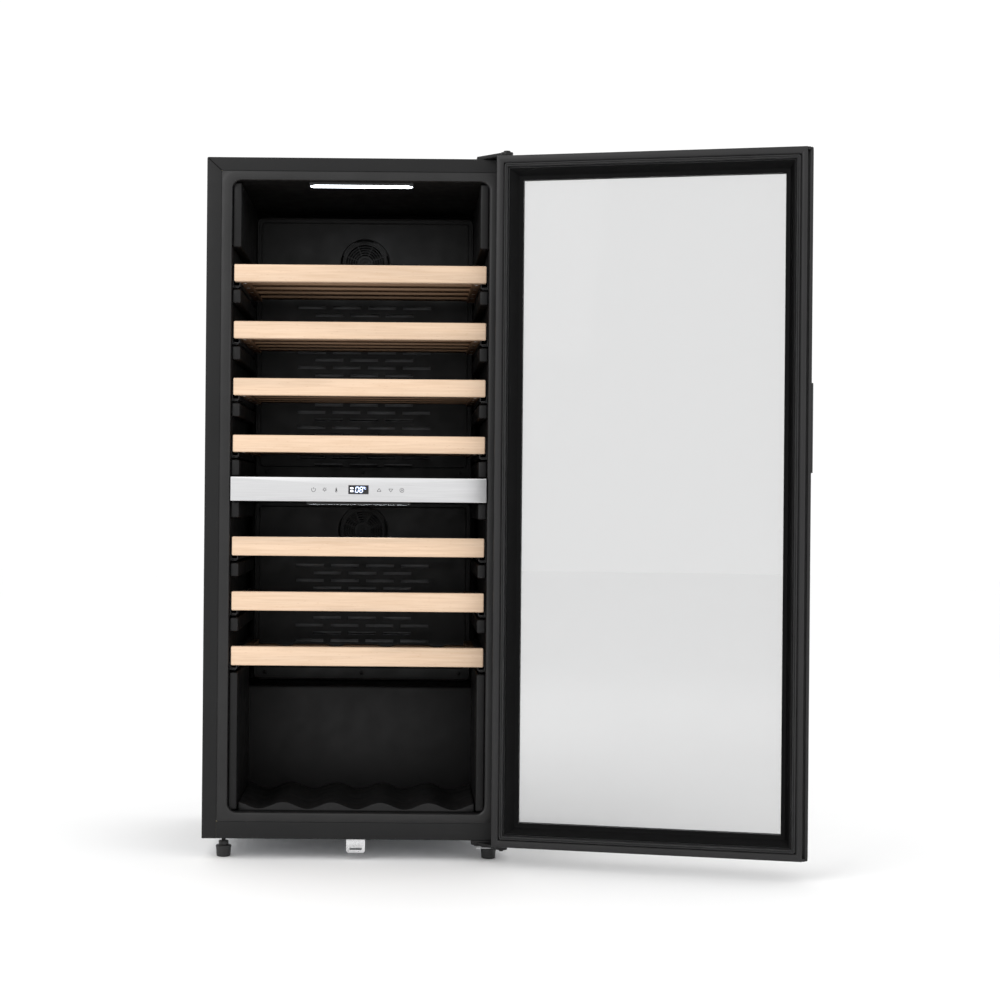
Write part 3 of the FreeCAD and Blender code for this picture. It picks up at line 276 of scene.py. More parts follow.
def block(box: Box, width: float, segments: int = 3) -> Mesh:
    """Block with rounded edges.

    Args:
        box: its outer box.
        width: rounding of the edges.
        segments: segments across the rounding.

    Returns:
        A new bmesh.
    """
    bm = bmesh.new()
    bmesh.ops.create_cube(bm, size=1.0)
    place = Matrix.Translation(box.centre) @ Matrix.Diagonal((*box.size, 1.0))
    bmesh.ops.transform(bm, matrix=place, verts=bm.verts)
    return softened(bm, width, segments)


def extruded(outline: Plan, span: Span, place: Callable[[float, float, float], Vector],
             width: float = 0.0) -> Mesh:
    """Outline pushed along a direction.

    Args:
        outline: (u, v) points in order.
        span: start and end along the direction.
        place: turns (u, v, w) into a point.
        width: rounding of the sharp edges.

    Returns:
        A new bmesh.
    """
    bm = loft([[place(u, v, w) for u, v in outline] for w in span])
    return softened(bm, width) if width else bm


def lathe(profile: Plan, centre: Vector, steps: int = 48) -> Mesh:
    """Profile turned about a vertical axis.

    Args:
        profile: (radius, height) points from bottom to top.
        centre: the axis's foot.
        steps: segments round the axis.

    Returns:
        A closed bmesh.
    """
    return loft([[centre + Vector((radius * c, radius * s, height)) for c, s in full_turn(steps)]
                 for radius, height in profile])


def merged(parts: Iterable[Mesh]) -> Mesh:
    """One bmesh that holds several, which are freed."""
    whole = bmesh.new()
    for part in parts:
        mesh = bpy.data.meshes.new("part")
        part.to_mesh(mesh)
        part.free()
        whole.from_mesh(mesh)
        bpy.data.meshes.remove(mesh)
    return whole


def stroke(points: Plan, width: float, y: Span) -> Mesh:
    """Thin raised line through points of the front plane.

    Args:
        points: (x, z) points.
        width: width of the line.
        y: front and back of the line.

    Returns:
        A bmesh of one bar for each stretch.
    """
    bars = []
    for a, b in zip(points, points[1:]):
        along = Vector((b[0] - a[0], 0, b[1] - a[1]))
        side = Vector((-along.z, 0, along.x)).normalized() * width / 2
        ends = [Vector((a[0], 0, a[1])), Vector((b[0], 0, b[1]))]
        ring = [ends[0] - side, ends[1] - side, ends[1] + side, ends[0] + side]
        bars.append(loft([[p + Vector((0, level, 0)) for p in ring] for level in y]))
    return merged(bars)


def arc(cx: float, cz: float, radius: float, start: float, end: float,
        steps: int = 20) -> list[tuple[float, float]]:
    """Points (x, z) along an arc, with its ends in degrees."""
    angles = [math.radians(start + (end - start) * k / steps) for k in range(steps + 1)]
    return [(cx + radius * math.cos(a), cz + radius * math.sin(a)) for a in angles]


# ---------------------------------------------------------------- finishes


class Tree:
    """A material's node tree with short calls for its nodes."""

    def __init__(self, name: str) -> None:
        """Starts a material with one Principled shader."""
        self.material = bpy.data.materials.new(name)
        self.material.use_nodes = True
        self.nodes = self.material.node_tree.nodes
        self.links = self.material.node_tree.links
        self.shader = next(n for n in self.nodes if n.type == "BSDF_PRINCIPLED")

    def set(self, **sockets: object) -> None:
        """Sets constants on the shader's own sockets, by name with underscores for spaces."""
        for name, value in sockets.items():
            self.shader.inputs[name.replace("_", " ")].default_value = value

    def node(self, kind: str, **inputs: object) -> bpy.types.Node:
        """Adds a node and sets or links its inputs.

        Args:
            kind: the node's type name.
            **inputs: sockets or values, by input name with underscores for spaces.

        Returns:
            The new node.
        """
        node = self.nodes.new(kind)
        for name, value in inputs.items():
            socket = node.inputs[name.replace("_", " ")]
            if isinstance(value, Socket):
                self.links.new(value, socket)
            else:
                socket.default_value = value
        return node

    def coords(self, stretch: Colour = (1.0, 1.0, 1.0), turn: float = 0.0) -> Socket:
        """Object coordinates, stretched, and turned about Z by an angle in radians."""
        place = self.nodes.new("ShaderNodeTexCoord").outputs["Object"]
        mapped = self.node("ShaderNodeMapping", Vector=place, Scale=stretch, Rotation=(0.0, 0.0, turn))
        return mapped.outputs[0]

    def noise(self, scale: float, detail: float = 3.0, stretch: Colour = (1.0, 1.0, 1.0), warp: float = 0.0,
              turn: float = 0.0) -> Socket:
        """Noise value at a scale per metre."""
        node = self.node("ShaderNodeTexNoise", Vector=self.coords(stretch, turn), Scale=scale, Detail=detail,
                         Distortion=warp)
        return node.outputs[0]

    def spread(self, value: Socket, low: float, high: float, start: float = 0.3,
               end: float = 0.7) -> Socket:
        """Maps the middle of a noise onto a range."""
        node = self.node("ShaderNodeMapRange", Value=value, From_Min=start, From_Max=end,
                         To_Min=low, To_Max=high)
        return node.outputs[0]

    def tones(self, value: Socket, stops: Sequence[tuple[float, Colour]]) -> Socket:
        """Colour ramp through stops."""
        node = self.node("ShaderNodeValToRGB", Fac=value)
        ramp = node.color_ramp.elements
        while len(ramp) < len(stops):
            ramp.new(0.5)
        for element, (place, colour) in zip(ramp, stops):
            element.position = place
            element.color = (*colour, 1.0)
        return node.outputs[0]

    def bump(self, height: Socket, strength: float, distance: float,
             under: Optional[Socket] = None) -> Socket:
        """Bump from a height, over another bump if one is given."""
        inputs = {"Height": height, "Strength": strength, "Distance": distance}
        if under is not None:
            inputs["Normal"] = under
        return self.node("ShaderNodeBump", **inputs).outputs[0]

    def wire(self, **sockets: Socket) -> None:
        """Links sockets into the shader."""
        for name, socket in sockets.items():
            self.links.new(socket, self.shader.inputs[name.replace("_", " ")])


@dataclass(frozen=True)
class Finish:
    """A surface finish.

    Attributes:
        name: the finish's name.
        colour: linear base colour.
        roughness: middle of its roughness.
        specular: specular level.
    """

    name: str
    colour: Colour
    roughness: float = 0.45
    specular: float = 0.5

    def material(self) -> bpy.types.Material:
        """The finish's material, made once, under a name that no material of the frame has."""
        label = self.name + "_finish"
        found = bpy.data.materials.get(label)
        if found is not None:
            return found
        tree = Tree(label)
        tree.set(Base_Color=(*self.colour, 1.0), Roughness=self.roughness, Specular_IOR_Level=self.specular)
        self.dress(tree)
        return tree.material

    def dress(self, tree: Tree) -> None:
        """Adds the finish's nodes."""

    def shades(self, factor: float) -> Colour:
        """The base colour made lighter or darker."""
        return tuple(min(1.0, c * factor) for c in self.colour)

    def two_tones(self, tree: Tree, value: Socket, dark: Span, light: Span) -> Socket:
        """Ramp between two shades of the base colour.

        Args:
            tree: the material's tree.
            value: what drives the ramp.
            dark: place of the first stop and its factor on the base colour.
            light: the same for the second stop.

        Returns:
            The colour socket.
        """
        return tree.tones(value, [(place, self.shades(factor)) for place, factor in (dark, light)])

    def gloss(self, tree: Tree, value: Socket, less: float, more: float) -> Socket:
        """Roughness that a noise moves below and above its middle."""
        return tree.spread(value, self.roughness - less, self.roughness + more)


@dataclass(frozen=True)
class PaintedSteel(Finish):
    """Powder-coated or lacquered sheet with a fine orange peel.

    Attributes:
        peel: strength of the orange peel.
        peel_scale: its waves per metre.
        metallic: metal under a thin coat.
    """

    peel: float = 0.12
    peel_scale: float = 650.0
    metallic: float = 0.0

    def dress(self, tree: Tree) -> None:
        """Orange peel, cloudy gloss and faint tone changes."""
        tree.set(Metallic=self.metallic)
        cloud = tree.noise(7.0, 3.0)
        tree.wire(Base_Color=self.two_tones(tree, cloud, (0.3, 0.86), (0.7, 1.16)),
                  Roughness=self.gloss(tree, tree.noise(60.0, 4.0), 0.05, 0.06),
                  Normal=tree.bump(tree.noise(self.peel_scale, 2.0), self.peel, 0.0003))


@dataclass(frozen=True)
class MouldedPlastic(Finish):
    """Injection-moulded or vacuum-formed plastic with a fine spark texture.

    Attributes:
        grain: strength of the texture.
        grain_scale: its cells per metre.
    """

    grain: float = 0.25
    grain_scale: float = 1600.0

    def dress(self, tree: Tree) -> None:
        """Spark texture over slow waves, with patchy gloss."""
        spark = tree.bump(tree.noise(self.grain_scale, 2.0), self.grain, 0.0002)
        waves = tree.bump(tree.noise(9.0, 1.0), 0.12, 0.004, spark)
        tree.wire(Base_Color=self.two_tones(tree, tree.noise(14.0, 4.0), (0.32, 0.82), (0.68, 1.2)),
                  Roughness=self.gloss(tree, tree.noise(35.0, 3.0), 0.06, 0.07),
                  Normal=waves)


class Grain(Enum):
    """Which way a board's grain runs, as stretches of the wood's pattern."""

    ACROSS = (0.07, 1.0, 1.0)
    DEEP = (1.0, 0.07, 1.0)


@dataclass(frozen=True)
class BeechWood(Finish):
    """Planed beech: pale tan with slow bands, fine fibres and short dark flecks.

    Attributes:
        grain: direction of the grain.
    """

    grain: Grain = Grain.ACROSS

    def dress(self, tree: Tree) -> None:
        """Bands, fibres and flecks, each with its own tone and a light relief."""
        way = self.grain.value
        bands = tree.noise(34.0, 4.0, way, 0.6)
        fibres = tree.noise(420.0, 3.0, tuple(w if w == 1.0 else w * 0.5 for w in way))
        fleck_way = tuple(w if w == 1.0 else 0.16 for w in way)
        cells = tree.node("ShaderNodeTexVoronoi", Vector=tree.coords(fleck_way), Scale=330.0)
        base = tree.tones(bands, ((0.3, self.shades(0.88)), (0.5, self.colour), (0.72, self.shades(1.07))))
        fibre_tone = tree.tones(fibres, ((0.35, (0.91, 0.88, 0.84)), (0.65, (1.0, 1.0, 1.0))))
        fleck_tone = tree.tones(cells.outputs["Distance"],
                                ((0.05, (0.72, 0.6, 0.48)), (0.16, (1.0, 1.0, 1.0))))
        mixed = base
        for tone, share in ((fibre_tone, 1.0), (fleck_tone, 0.55)):
            mix = tree.nodes.new("ShaderNodeMix")
            mix.data_type = "RGBA"
            mix.blend_type = "MULTIPLY"
            mix.inputs[0].default_value = share
            tree.links.new(mixed, mix.inputs[6])
            tree.links.new(tone, mix.inputs[7])
            mixed = mix.outputs[2]
        tree.wire(Base_Color=mixed, Roughness=self.gloss(tree, fibres, 0.07, 0.1),
                  Normal=tree.bump(fibres, 0.18, 0.0004))


@dataclass(frozen=True)
class BrushedSteel(Finish):
    """Stainless sheet brushed along its length."""

    def dress(self, tree: Tree) -> None:
        """Long hair lines in tone, gloss and relief."""
        lines = tree.noise(2600.0, 2.0, (0.006, 1.0, 1.0))
        wide = tree.noise(300.0, 2.0, (0.02, 1.0, 1.0))
        tree.set(Metallic=1.0, Anisotropic=0.5)
        tree.wire(Base_Color=self.two_tones(tree, lines, (0.25, 0.9), (0.75, 1.06)),
                  Roughness=self.gloss(tree, wide, 0.05, 0.07),
                  Normal=tree.bump(lines, 0.08, 0.0001))


@dataclass(frozen=True)
class PlatedMetal(Finish):
    """Bare or plated metal with cloudy crystals.

    Attributes:
        crystals: crystals per metre.
        contrast: tone difference between crystals.
    """

    crystals: float = 160.0
    contrast: float = 0.12

    def dress(self, tree: Tree) -> None:
        """Crystal patches and fine scratches."""
        cells = tree.node("ShaderNodeTexVoronoi", Vector=tree.coords(), Scale=self.crystals)
        tree.set(Metallic=1.0)
        grey = tree.node("ShaderNodeSeparateColor", Color=cells.outputs["Color"]).outputs[0]
        tree.wire(Base_Color=self.two_tones(tree, grey, (0.0, 1 - self.contrast), (1.0, 1.06)),
                  Roughness=tree.spread(grey, self.roughness - 0.07, self.roughness + 0.09, 0.0, 1.0),
                  Normal=tree.bump(tree.noise(1500.0, 2.0, (0.1, 1.0, 1.0)), 0.06, 0.0001))


@dataclass(frozen=True)
class SoftRubber(Finish):
    """Matt elastomer with a dusty bloom."""

    def dress(self, tree: Tree) -> None:
        """Dust in the tone and a fine tooth."""
        dust = tree.noise(90.0, 5.0)
        tree.wire(Base_Color=self.two_tones(tree, dust, (0.35, 0.8), (0.75, 1.5)),
                  Roughness=self.gloss(tree, dust, 0.05, 0.1),
                  Normal=tree.bump(tree.noise(2200.0, 2.0), 0.2, 0.0001))


@dataclass(frozen=True)
class TintedPane(Finish):
    """Lightly tinted flat glass.

    Attributes:
        cover: how much of what is behind it the tint hides.
    """

    cover: float = 0.1

    def dress(self, tree: Tree) -> None:
        """A see-through tint with faint wipe marks in its gloss."""
        tree.set(Alpha=self.cover, IOR=1.5)
        tree.wire(Roughness=self.gloss(tree, tree.noise(18.0, 5.0, (1.0, 1.0, 0.3)), 0.0, 0.05))


@dataclass(frozen=True)
class Glow(Finish):
    """Surface that gives light.

    Attributes:
        light: colour of the light.
        strength: its strength.
    """

    light: Colour = (1.0, 1.0, 1.0)
    strength: float = 4.0

    def dress(self, tree: Tree) -> None:
        """Steady light under a frosted surface."""
        tree.set(Emission_Color=(*self.light, 1.0), Emission_Strength=self.strength)
        tree.wire(Roughness=self.gloss(tree, tree.noise(700.0, 2.0), 0.0, 0.1))


@dataclass(frozen=True)
class PouredFoam(Finish):
    """Rigid foam with open cells at its skin."""

    def dress(self, tree: Tree) -> None:
        """Cells in tone and relief."""
        cells = tree.noise(520.0, 5.0)
        tree.wire(Base_Color=self.two_tones(tree, cells, (0.3, 0.8), (0.7, 1.08)),
                  Normal=tree.bump(cells, 0.5, 0.0008))


CASING_PAINT = PaintedSteel("casing_paint", (0.008, 0.008, 0.0082), 0.45, 0.22)
BACK_PAINT = PaintedSteel("back_sheet_paint", (0.03, 0.03, 0.031), 0.5, 0.4, 0.25, 380.0)
DOOR_PAINT = PaintedSteel("door_frame_paint", (0.011, 0.0107, 0.0112), 0.4, 0.34)
HINGE_PAINT = PaintedSteel("hinge_paint", (0.003, 0.003, 0.0032), 0.4, 0.3)
HANDLE_PAINT = PaintedSteel("handle_paint", (0.02, 0.02, 0.021), 0.33, 0.5, 0.08)
SLIDE_PAINT = PaintedSteel("slide_paint", (0.010, 0.010, 0.011), 0.4, 0.45)
LACQUER = PaintedSteel("black_lacquer", (0.008, 0.008, 0.008), 0.25, 0.5, 0.2, 240.0)
# Liner plastic kept about twice as bright as the duct covers: partly painted light, for the strip lights' glow on
# ceiling and walls.
LIT_LINER_PLASTIC = MouldedPlastic("liner_plastic_partly_painted_light", (0.006, 0.0058, 0.006), 0.46, 0.24)
# Duct covers: the same moulded plastic at about half the liner's brightness, painted shade on the compartments'
# back walls.
SHADED_COVER_PLASTIC = MouldedPlastic("duct_cover_plastic_painted_shade", (0.0032, 0.0031, 0.0032), 0.36, 0.3)
# Evaporator plates: bare aluminium made a dark grey, painted shade for the plates seen through the covers' slots.
SHADED_EVAPORATOR = PlatedMetal("evaporator_painted_shade", (0.16, 0.16, 0.165), 0.45, 0.5, 900.0, 0.05)
LIP_PLASTIC = MouldedPlastic("liner_lip_plastic", (0.012, 0.0118, 0.012), 0.38, 0.34)
TRIM_PLASTIC = MouldedPlastic("door_trim_plastic", (0.001, 0.001, 0.0011), 0.42, 0.08)
BLACK_PLASTIC = MouldedPlastic("black_plastic", (0.013, 0.013, 0.013), 0.5, 0.4)
FOOT_PLASTIC = MouldedPlastic("foot_plastic", (0.016, 0.016, 0.0165), 0.5, 0.42, 0.4, 900.0)
NYLON = MouldedPlastic("nylon", (0.72, 0.7, 0.66), 0.45)
BOARD = MouldedPlastic("circuit_board", (0.02, 0.14, 0.06), 0.35)
DISPLAY_BLACK = MouldedPlastic("display_black", (0.004, 0.004, 0.006), 0.08, 0.6, 0.02)
INK = MouldedPlastic("panel_ink", (0.02, 0.02, 0.022), 0.6, 0.3)
FRONT_BEECH = BeechWood("beech_front", (0.71, 0.53, 0.385), 0.5, 0.3)
# Slats and beams: the front board's beech made a much darker brown, painted shade under the shelves.
SHADED_SLAT_BEECH = BeechWood("beech_slat_painted_shade", (0.2, 0.12, 0.07), 0.55, 0.3)
SHADED_BEAM_BEECH = BeechWood("beech_beam_painted_shade", (0.2, 0.12, 0.07), 0.55, 0.3, Grain.DEEP)
FASCIA_STEEL = BrushedSteel("fascia_steel", (0.61, 0.61, 0.616), 0.46)
ZINC = PlatedMetal("zinc_plate", (0.72, 0.72, 0.73), 0.32, 0.5, 420.0, 0.1)
GALVANISED = PlatedMetal("galvanised_sheet", (0.55, 0.56, 0.58), 0.4, 0.5, 70.0, 0.2)
ALUMINIUM = PlatedMetal("bare_aluminium", (0.78, 0.79, 0.8), 0.34, 0.5, 900.0, 0.05)
COPPER = PlatedMetal("copper_tube", (0.75, 0.36, 0.22), 0.3, 0.5, 200.0, 0.18)
SEAL_RUBBER = SoftRubber("seal_rubber", (0.013, 0.013, 0.0135), 0.6, 0.38)
PANE = TintedPane("tinted_pane", (0.12, 0.125, 0.13), 0.03, 0.5, 0.1)
FRIT = MouldedPlastic("glass_border_print", (0.006, 0.006, 0.0065), 0.3, 0.4, 0.02)
LED_LENS = Glow("light_strip", (0.9, 0.93, 0.97), 0.4, 0.5, (0.86, 0.93, 1.0), 7.0)
FROSTED = Glow("frosted_lens", (0.05, 0.052, 0.055), 0.4, 0.4, (0.86, 0.93, 1.0), 0.04)
DIGIT_GLOW = Glow("display_glow", (0.6, 0.7, 1.0), 0.4, 0.5, (0.55, 0.68, 1.0), 2.6)
SYMBOL_GLOW = Glow("display_symbols", (0.9, 0.92, 1.0), 0.4, 0.5, (0.9, 0.93, 1.0), 1.4)
FOAM = PouredFoam("poured_foam", (0.75, 0.66, 0.42), 0.9, 0.2)


# ---------------------------------------------------------------- sub-assemblies


@dataclass
class SubAssembly:
    """A group of pieces that is built and dressed together.

    Attributes:
        body: the frame body that its pieces ride on.
        made: names of the finished pieces and dressed nodes.
    """

    body: str = "cabinet"
    made: list[str] = field(default_factory=list)

    def piece(self, name: str, bm: Mesh, finish: Finish, slot: str, replaces: Sequence[str] = (),
              smooth: float = 35.0) -> bpy.types.Object:
        """Turns a bmesh into a dressed piece on this sub-assembly's body.

        Args:
            name: the piece's name.
            bm: its mesh, which is freed.
            finish: its finish.
            slot: the record's material slot; not used.
            replaces: frame nodes that it stands for.
            smooth: edges sharper than this many degrees stay sharp.

        Returns:
            The new object.
        """
        mesh = bpy.data.meshes.new(name)
        bm.to_mesh(mesh)
        bm.free()
        mesh.shade_smooth()
        mesh.set_sharp_from_angle(angle=math.radians(smooth))
        obj = bpy.data.objects.new(name, mesh)
        bpy.context.scene.collection.objects.link(obj)
        obj.data.materials.append(finish.material())
        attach(obj, self.body)
        if replaces:
            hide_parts(*replaces)
        self.made.append(name)
        return obj

    def soft_node(self, node: str, width: float, finish: Finish, slot: str,
                  segments: int = 2) -> bpy.types.Object:
        """Replaces a frame node by the same shape with rounded edges.

        Args:
            node: the frame node.
            width: rounding of its edges.
            finish: its finish.
            slot: the record's material slot.
            segments: segments across the rounding.

        Returns:
            The new object.
        """
        return self.piece(node + "_soft", softened(merged_mesh(node), width, segments), finish, slot, [node])

    def dress(self, node: str, finish: Finish) -> None:
        """Gives a frame node whose shape stays its finish."""
        for material_slot in frame["nodes"][node].material_slots:
            material_slot.material = finish.material()
        self.made.append(node)

    def build(self) -> None:
        """Makes the sub-assembly's pieces."""
        raise NotImplementedError


@dataclass
class CabinetShell(SubAssembly):
    """Steel skin, front rail, floor and back of the cabinet.

    Attributes:
        flange_side: width of the side flange.
        flange_top: width of the top flange.
        sheet: thickness of the steel.
        bend: outer radius of the bends.
        seam: width of the sealed mitre line at the flange's corners.
    """

    flange_side: float = 26 * MM
    flange_top: float = 24 * MM
    sheet: float = 0.8 * MM
    bend: float = 2.5 * MM
    seam: float = 1.6 * MM

    def build(self) -> None:
        """Skin with its seams, rail, back and pans."""
        self.piece("casing_skin", self.skin(), CASING_PAINT, "casing_black", ["outer_casing"])
        self.piece("casing_mitre_seams", self.seams(), TRIM_PLASTIC, "seal_rubber")
        self.piece("front_rail", self.rail(), CASING_PAINT, "casing_black", ["bottom_rail"])
        self.soft_node("back_panel", 0.3 * MM, BACK_PAINT, "back_sheet")
        self.dress("base_pan", GALVANISED)
        self.dress("foam_insulation", FOAM)

    def skin(self) -> Mesh:
        """Sides, top and folded flange as one bent sheet, carried round three sides."""
        box = CASING
        front, back = box.low.y, box.high.y
        steps = 4
        small = self.bend - self.sheet
        outer, inner = [], []
        for k in range(steps + 1):
            turn = math.pi / 2 * k / steps
            sweep = (1 - math.sin(turn), 1 - math.cos(turn))
            outer.append((self.bend * sweep[1], front + self.bend * sweep[0]))
            inner.append((self.sheet + small * sweep[1], front + self.sheet + small * sweep[0]))
        profile = [(0.0, back)] + outer
        tips = [(None, front), (None, front + self.sheet)]
        profile += tips + list(reversed(inner)) + [(self.sheet, back)]
        loops = []
        for inset, y in profile:
            side = self.flange_side if inset is None else inset
            top = self.flange_top if inset is None else inset
            left, right, high = box.low.x + side, box.high.x - side, box.high.z - top
            radius = max(self.bend - min(side, top), 1e-5)
            loop = [Vector((left, y, box.low.z))]
            for cx, sign in ((left + radius, -1), (right - radius, 1)):
                for k in range(steps + 1):
                    angle = math.pi / 2 * (k / steps if sign < 0 else 1 - k / steps)
                    loop.append(Vector((cx + sign * radius * math.cos(angle), y,
                                        high - radius + radius * math.sin(angle))))
            loop.append(Vector((right, y, box.low.z)))
            loops.append(loop)
        bm = bmesh.new()
        rows = [[bm.verts.new(p) for p in loop] for loop in loops]
        for a, b in zip(rows, rows[1:] + rows[:1]):
            for k in range(len(a) - 1):
                bm.faces.new((a[k], a[k + 1], b[k + 1], b[k]))
        for end in (0, -1):
            bm.faces.new([row[end] for row in rows])
        bmesh.ops.recalc_face_normals(bm, faces=bm.faces)
        return bm

    def seams(self) -> Mesh:
        """Sealed mitre lines across the flange's two upper corners."""
        box = CASING
        level = (box.low.y - 0.12 * MM, box.low.y + 0.3 * MM)
        start = self.bend * 0.7
        lines = []
        for outer, sign in ((box.low.x, 1), (box.high.x, -1)):
            a = (outer + sign * start, box.high.z - start)
            b = (outer + sign * self.flange_side, box.high.z - self.flange_top)
            lines.append(stroke([a, b], self.seam, level))
        return merged(lines)

    def rail(self) -> Mesh:
        """Folded rail under the opening, with a rolled upper edge."""
        box = node_box("bottom_rail")
        front, sheet, top = box.low.y, self.sheet, box.high.z - 0.6 * MM
        roll = [(0.0, box.low.z + 1.2 * MM), (0.0, top - 1.4 * MM), (0.4 * MM, top - 0.4 * MM),
                (1.4 * MM, top), (2.2 * MM, top), (2.2 * MM, top - sheet), (sheet, top - 1.6 * MM),
                (sheet, box.low.z + sheet),
                (box.size.y, box.low.z + sheet), (box.size.y, box.low.z), (1.2 * MM, box.low.z)]
        gap = 0.25 * MM
        return extruded(roll, (box.low.x + gap, box.high.x - gap), lambda y, z, x: Vector((x, front + y, z)))


@dataclass
class Liner(SubAssembly):
    """Moulded inner box with its rolled lip, step and side ledges.

    Attributes:
        wall: thickness of the plastic.
        corner: radius of the opening's corners.
        back_round: radius where walls meet the back.
        lip_side: width of the visible lip at the sides.
        lip_top: its width at the top, as a share of that.
        lip_bottom: its width at the bottom, as a share of that.
        lip_deep: depth of the lip, where it meets the walls.
        ledge_round: rounding of the ledges.
        step_in: distance from the front plane to the step's face.
    """

    wall: float = 2.0 * MM
    corner: float = 16 * MM
    back_round: float = 10 * MM
    lip_side: float = 20 * MM
    lip_top: float = 17 / 20
    lip_bottom: float = 16 / 20
    lip_deep: float = 9 * MM
    ledge_round: float = 3.2 * MM
    step_in: float = 270 * MM

    def build(self) -> None:
        """Shell, lip, step and ledges."""
        ledges = solid_boxes("shelf_ledges")
        half = max(b.high.x for b in ledges) - MIDDLE_X
        liner = node_box("inner_liner")
        tuck = liner.high.x - MIDDLE_X - half
        x = (MIDDLE_X - half, MIDDLE_X + half)
        low = node_box("floor_cradle").low.z
        high = max(b.high.z for b in solid_boxes("light_housings"))
        z = (low, high)
        self.piece("liner_shell", self.shell(x, z, liner), LIT_LINER_PLASTIC, "liner_black", ["inner_liner"])
        self.piece("liner_lip", self.lip(x, z, tuck), LIP_PLASTIC, "liner_black")
        self.piece("liner_step", self.step(x, low), LIT_LINER_PLASTIC, "liner_black")
        rounds = [block(ledge, self.ledge_round) for ledge in ledges]
        self.piece("side_ledges", merged(rounds), LIT_LINER_PLASTIC, "liner_black", ["shelf_ledges"])

    def shell(self, x: Span, z: Span, liner: Box) -> Mesh:
        """Walls and back as one moulded skin with rounded corners.

        Args:
            x: inner side walls.
            z: inner floor and ceiling.
            liner: the liner's outer box.

        Returns:
            A closed bmesh.
        """
        front = FRONT_Y + self.lip_deep
        back = liner.high.y - self.wall
        wall, bend = self.wall, self.back_round
        sections = [(-wall, liner.high.y), (-wall, front), (0.0, front), (0.0, back - bend)]
        steps = 5
        for k in range(1, steps + 1):
            turn = math.pi / 2 * k / steps
            sections.append((bend * (1 - math.cos(turn)), back - bend + bend * math.sin(turn)))
        loops = []
        for inset, y in sections:
            loops.append(rounded_loop((x[0] + inset, x[1] - inset), (z[0] + inset, z[1] - inset), y,
                                      self.corner - inset))
        return loft(loops)

    def lip(self, x: Span, z: Span, tuck: float) -> Mesh:
        """Crowned lip round the opening that rolls into the walls.

        Args:
            x: inner side walls.
            z: inner floor and ceiling.
            tuck: how far the lip reaches outward, under the flange.

        Returns:
            A closed bmesh.
        """
        reach = self.lip_side / (20 * MM)
        crown = [(-20.0, 1.7), (-17.5, 1.0), (-13.0, 0.6), (-8.0, 0.45), (-4.6, 0.5), (-3.0, 0.75),
                 (-1.8, 1.3), (-0.9, 2.1), (-0.3, 3.2), (0.0, 4.6)]
        profile = [(-tuck, 1.7 * MM)] + [(inset * MM * reach, depth * MM) for inset, depth in crown]
        profile += [(0.0, self.lip_deep), (-self.wall, self.lip_deep), (-self.wall, 7 * MM), (-8 * MM, 3 * MM),
                    (-tuck, 2.8 * MM)]
        loops = []
        for inset, depth in profile:
            y = FRONT_Y + depth
            visible = min(max(-inset, 0.0), self.lip_side)
            up = inset + visible * (1 - self.lip_top)
            down = inset + visible * (1 - self.lip_bottom)
            loops.append(rounded_loop((x[0] + inset, x[1] - inset), (z[0] + down, z[1] - up), y,
                                      self.corner - inset * 0.25))
        return loft(loops, closed=True)

    def step(self, x: Span, low: float) -> Mesh:
        """Hump over the machine room at the back of the floor."""
        cover = node_box("lower_duct_cover")
        front = FRONT_Y + self.step_in
        box = Box(Vector((x[0] - self.wall / 2, front, low - self.wall / 2)),
                  Vector((x[1] + self.wall / 2, cover.high.y, cover.low.z - 0.5 * MM)))
        return block(box, 5 * MM, 4)


@dataclass
class ZoneDivider(SubAssembly):
    """Insulated floor between the zones.

    Attributes:
        rim: width of the tray's rim.
        sink: depth of the tray.
        drain: radius of the drain hole.
        drain_in: distance from the tray's front to the drain's middle.
    """

    rim: float = 16 * MM
    sink: float = 1.4 * MM
    drain: float = 4 * MM
    drain_in: float = 20 * MM

    def build(self) -> None:
        """Skin with its shallow tray, the drain and the core."""
        box = node_box("zone_divider")
        top = box.high.z
        stages = [(0, box.low.z, 3), (0, top - 2 * MM, 3), (0.6 * MM, top - 0.5 * MM, 3), (2 * MM, top, 3),
                  (self.rim, top, 14), (self.rim + 1.5 * MM, top - 0.6 * MM, 13),
                  (self.rim + 3 * MM, top - self.sink, 12)]
        loops = [self.ring(box, inset, z, corner) for inset, z, corner in stages]
        self.piece("divider_skin", loft(loops), LIT_LINER_PLASTIC, "liner_black", ["zone_divider"])
        spot = Vector((MIDDLE_X, box.low.y + self.rim + self.drain_in, top - self.sink))
        collar = [(self.drain, 0.0), (self.drain + 2 * MM, 0.0), (self.drain + 2 * MM, 0.5 * MM),
                  (self.drain + 0.6 * MM, 0.9 * MM), (self.drain, 0.4 * MM)]
        rings = [[spot + Vector((r * c, r * s, h)) for c, s in full_turn(32)] for r, h in collar]
        self.piece("divider_drain", loft(rings, closed=True), BLACK_PLASTIC, "liner_black")
        self.dress("divider_core", FOAM)

    @staticmethod
    def ring(box: Box, inset: float, z: float, radius_mm: float) -> Loop:
        """Rounded rectangle at a height, inset from the divider's sides."""
        flat = rounded_loop((box.low.x + inset, box.high.x - inset), (box.low.y + inset, box.high.y - inset),
                            0.0, radius_mm * MM)
        return [Vector((p.x, p.z, z)) for p in flat]


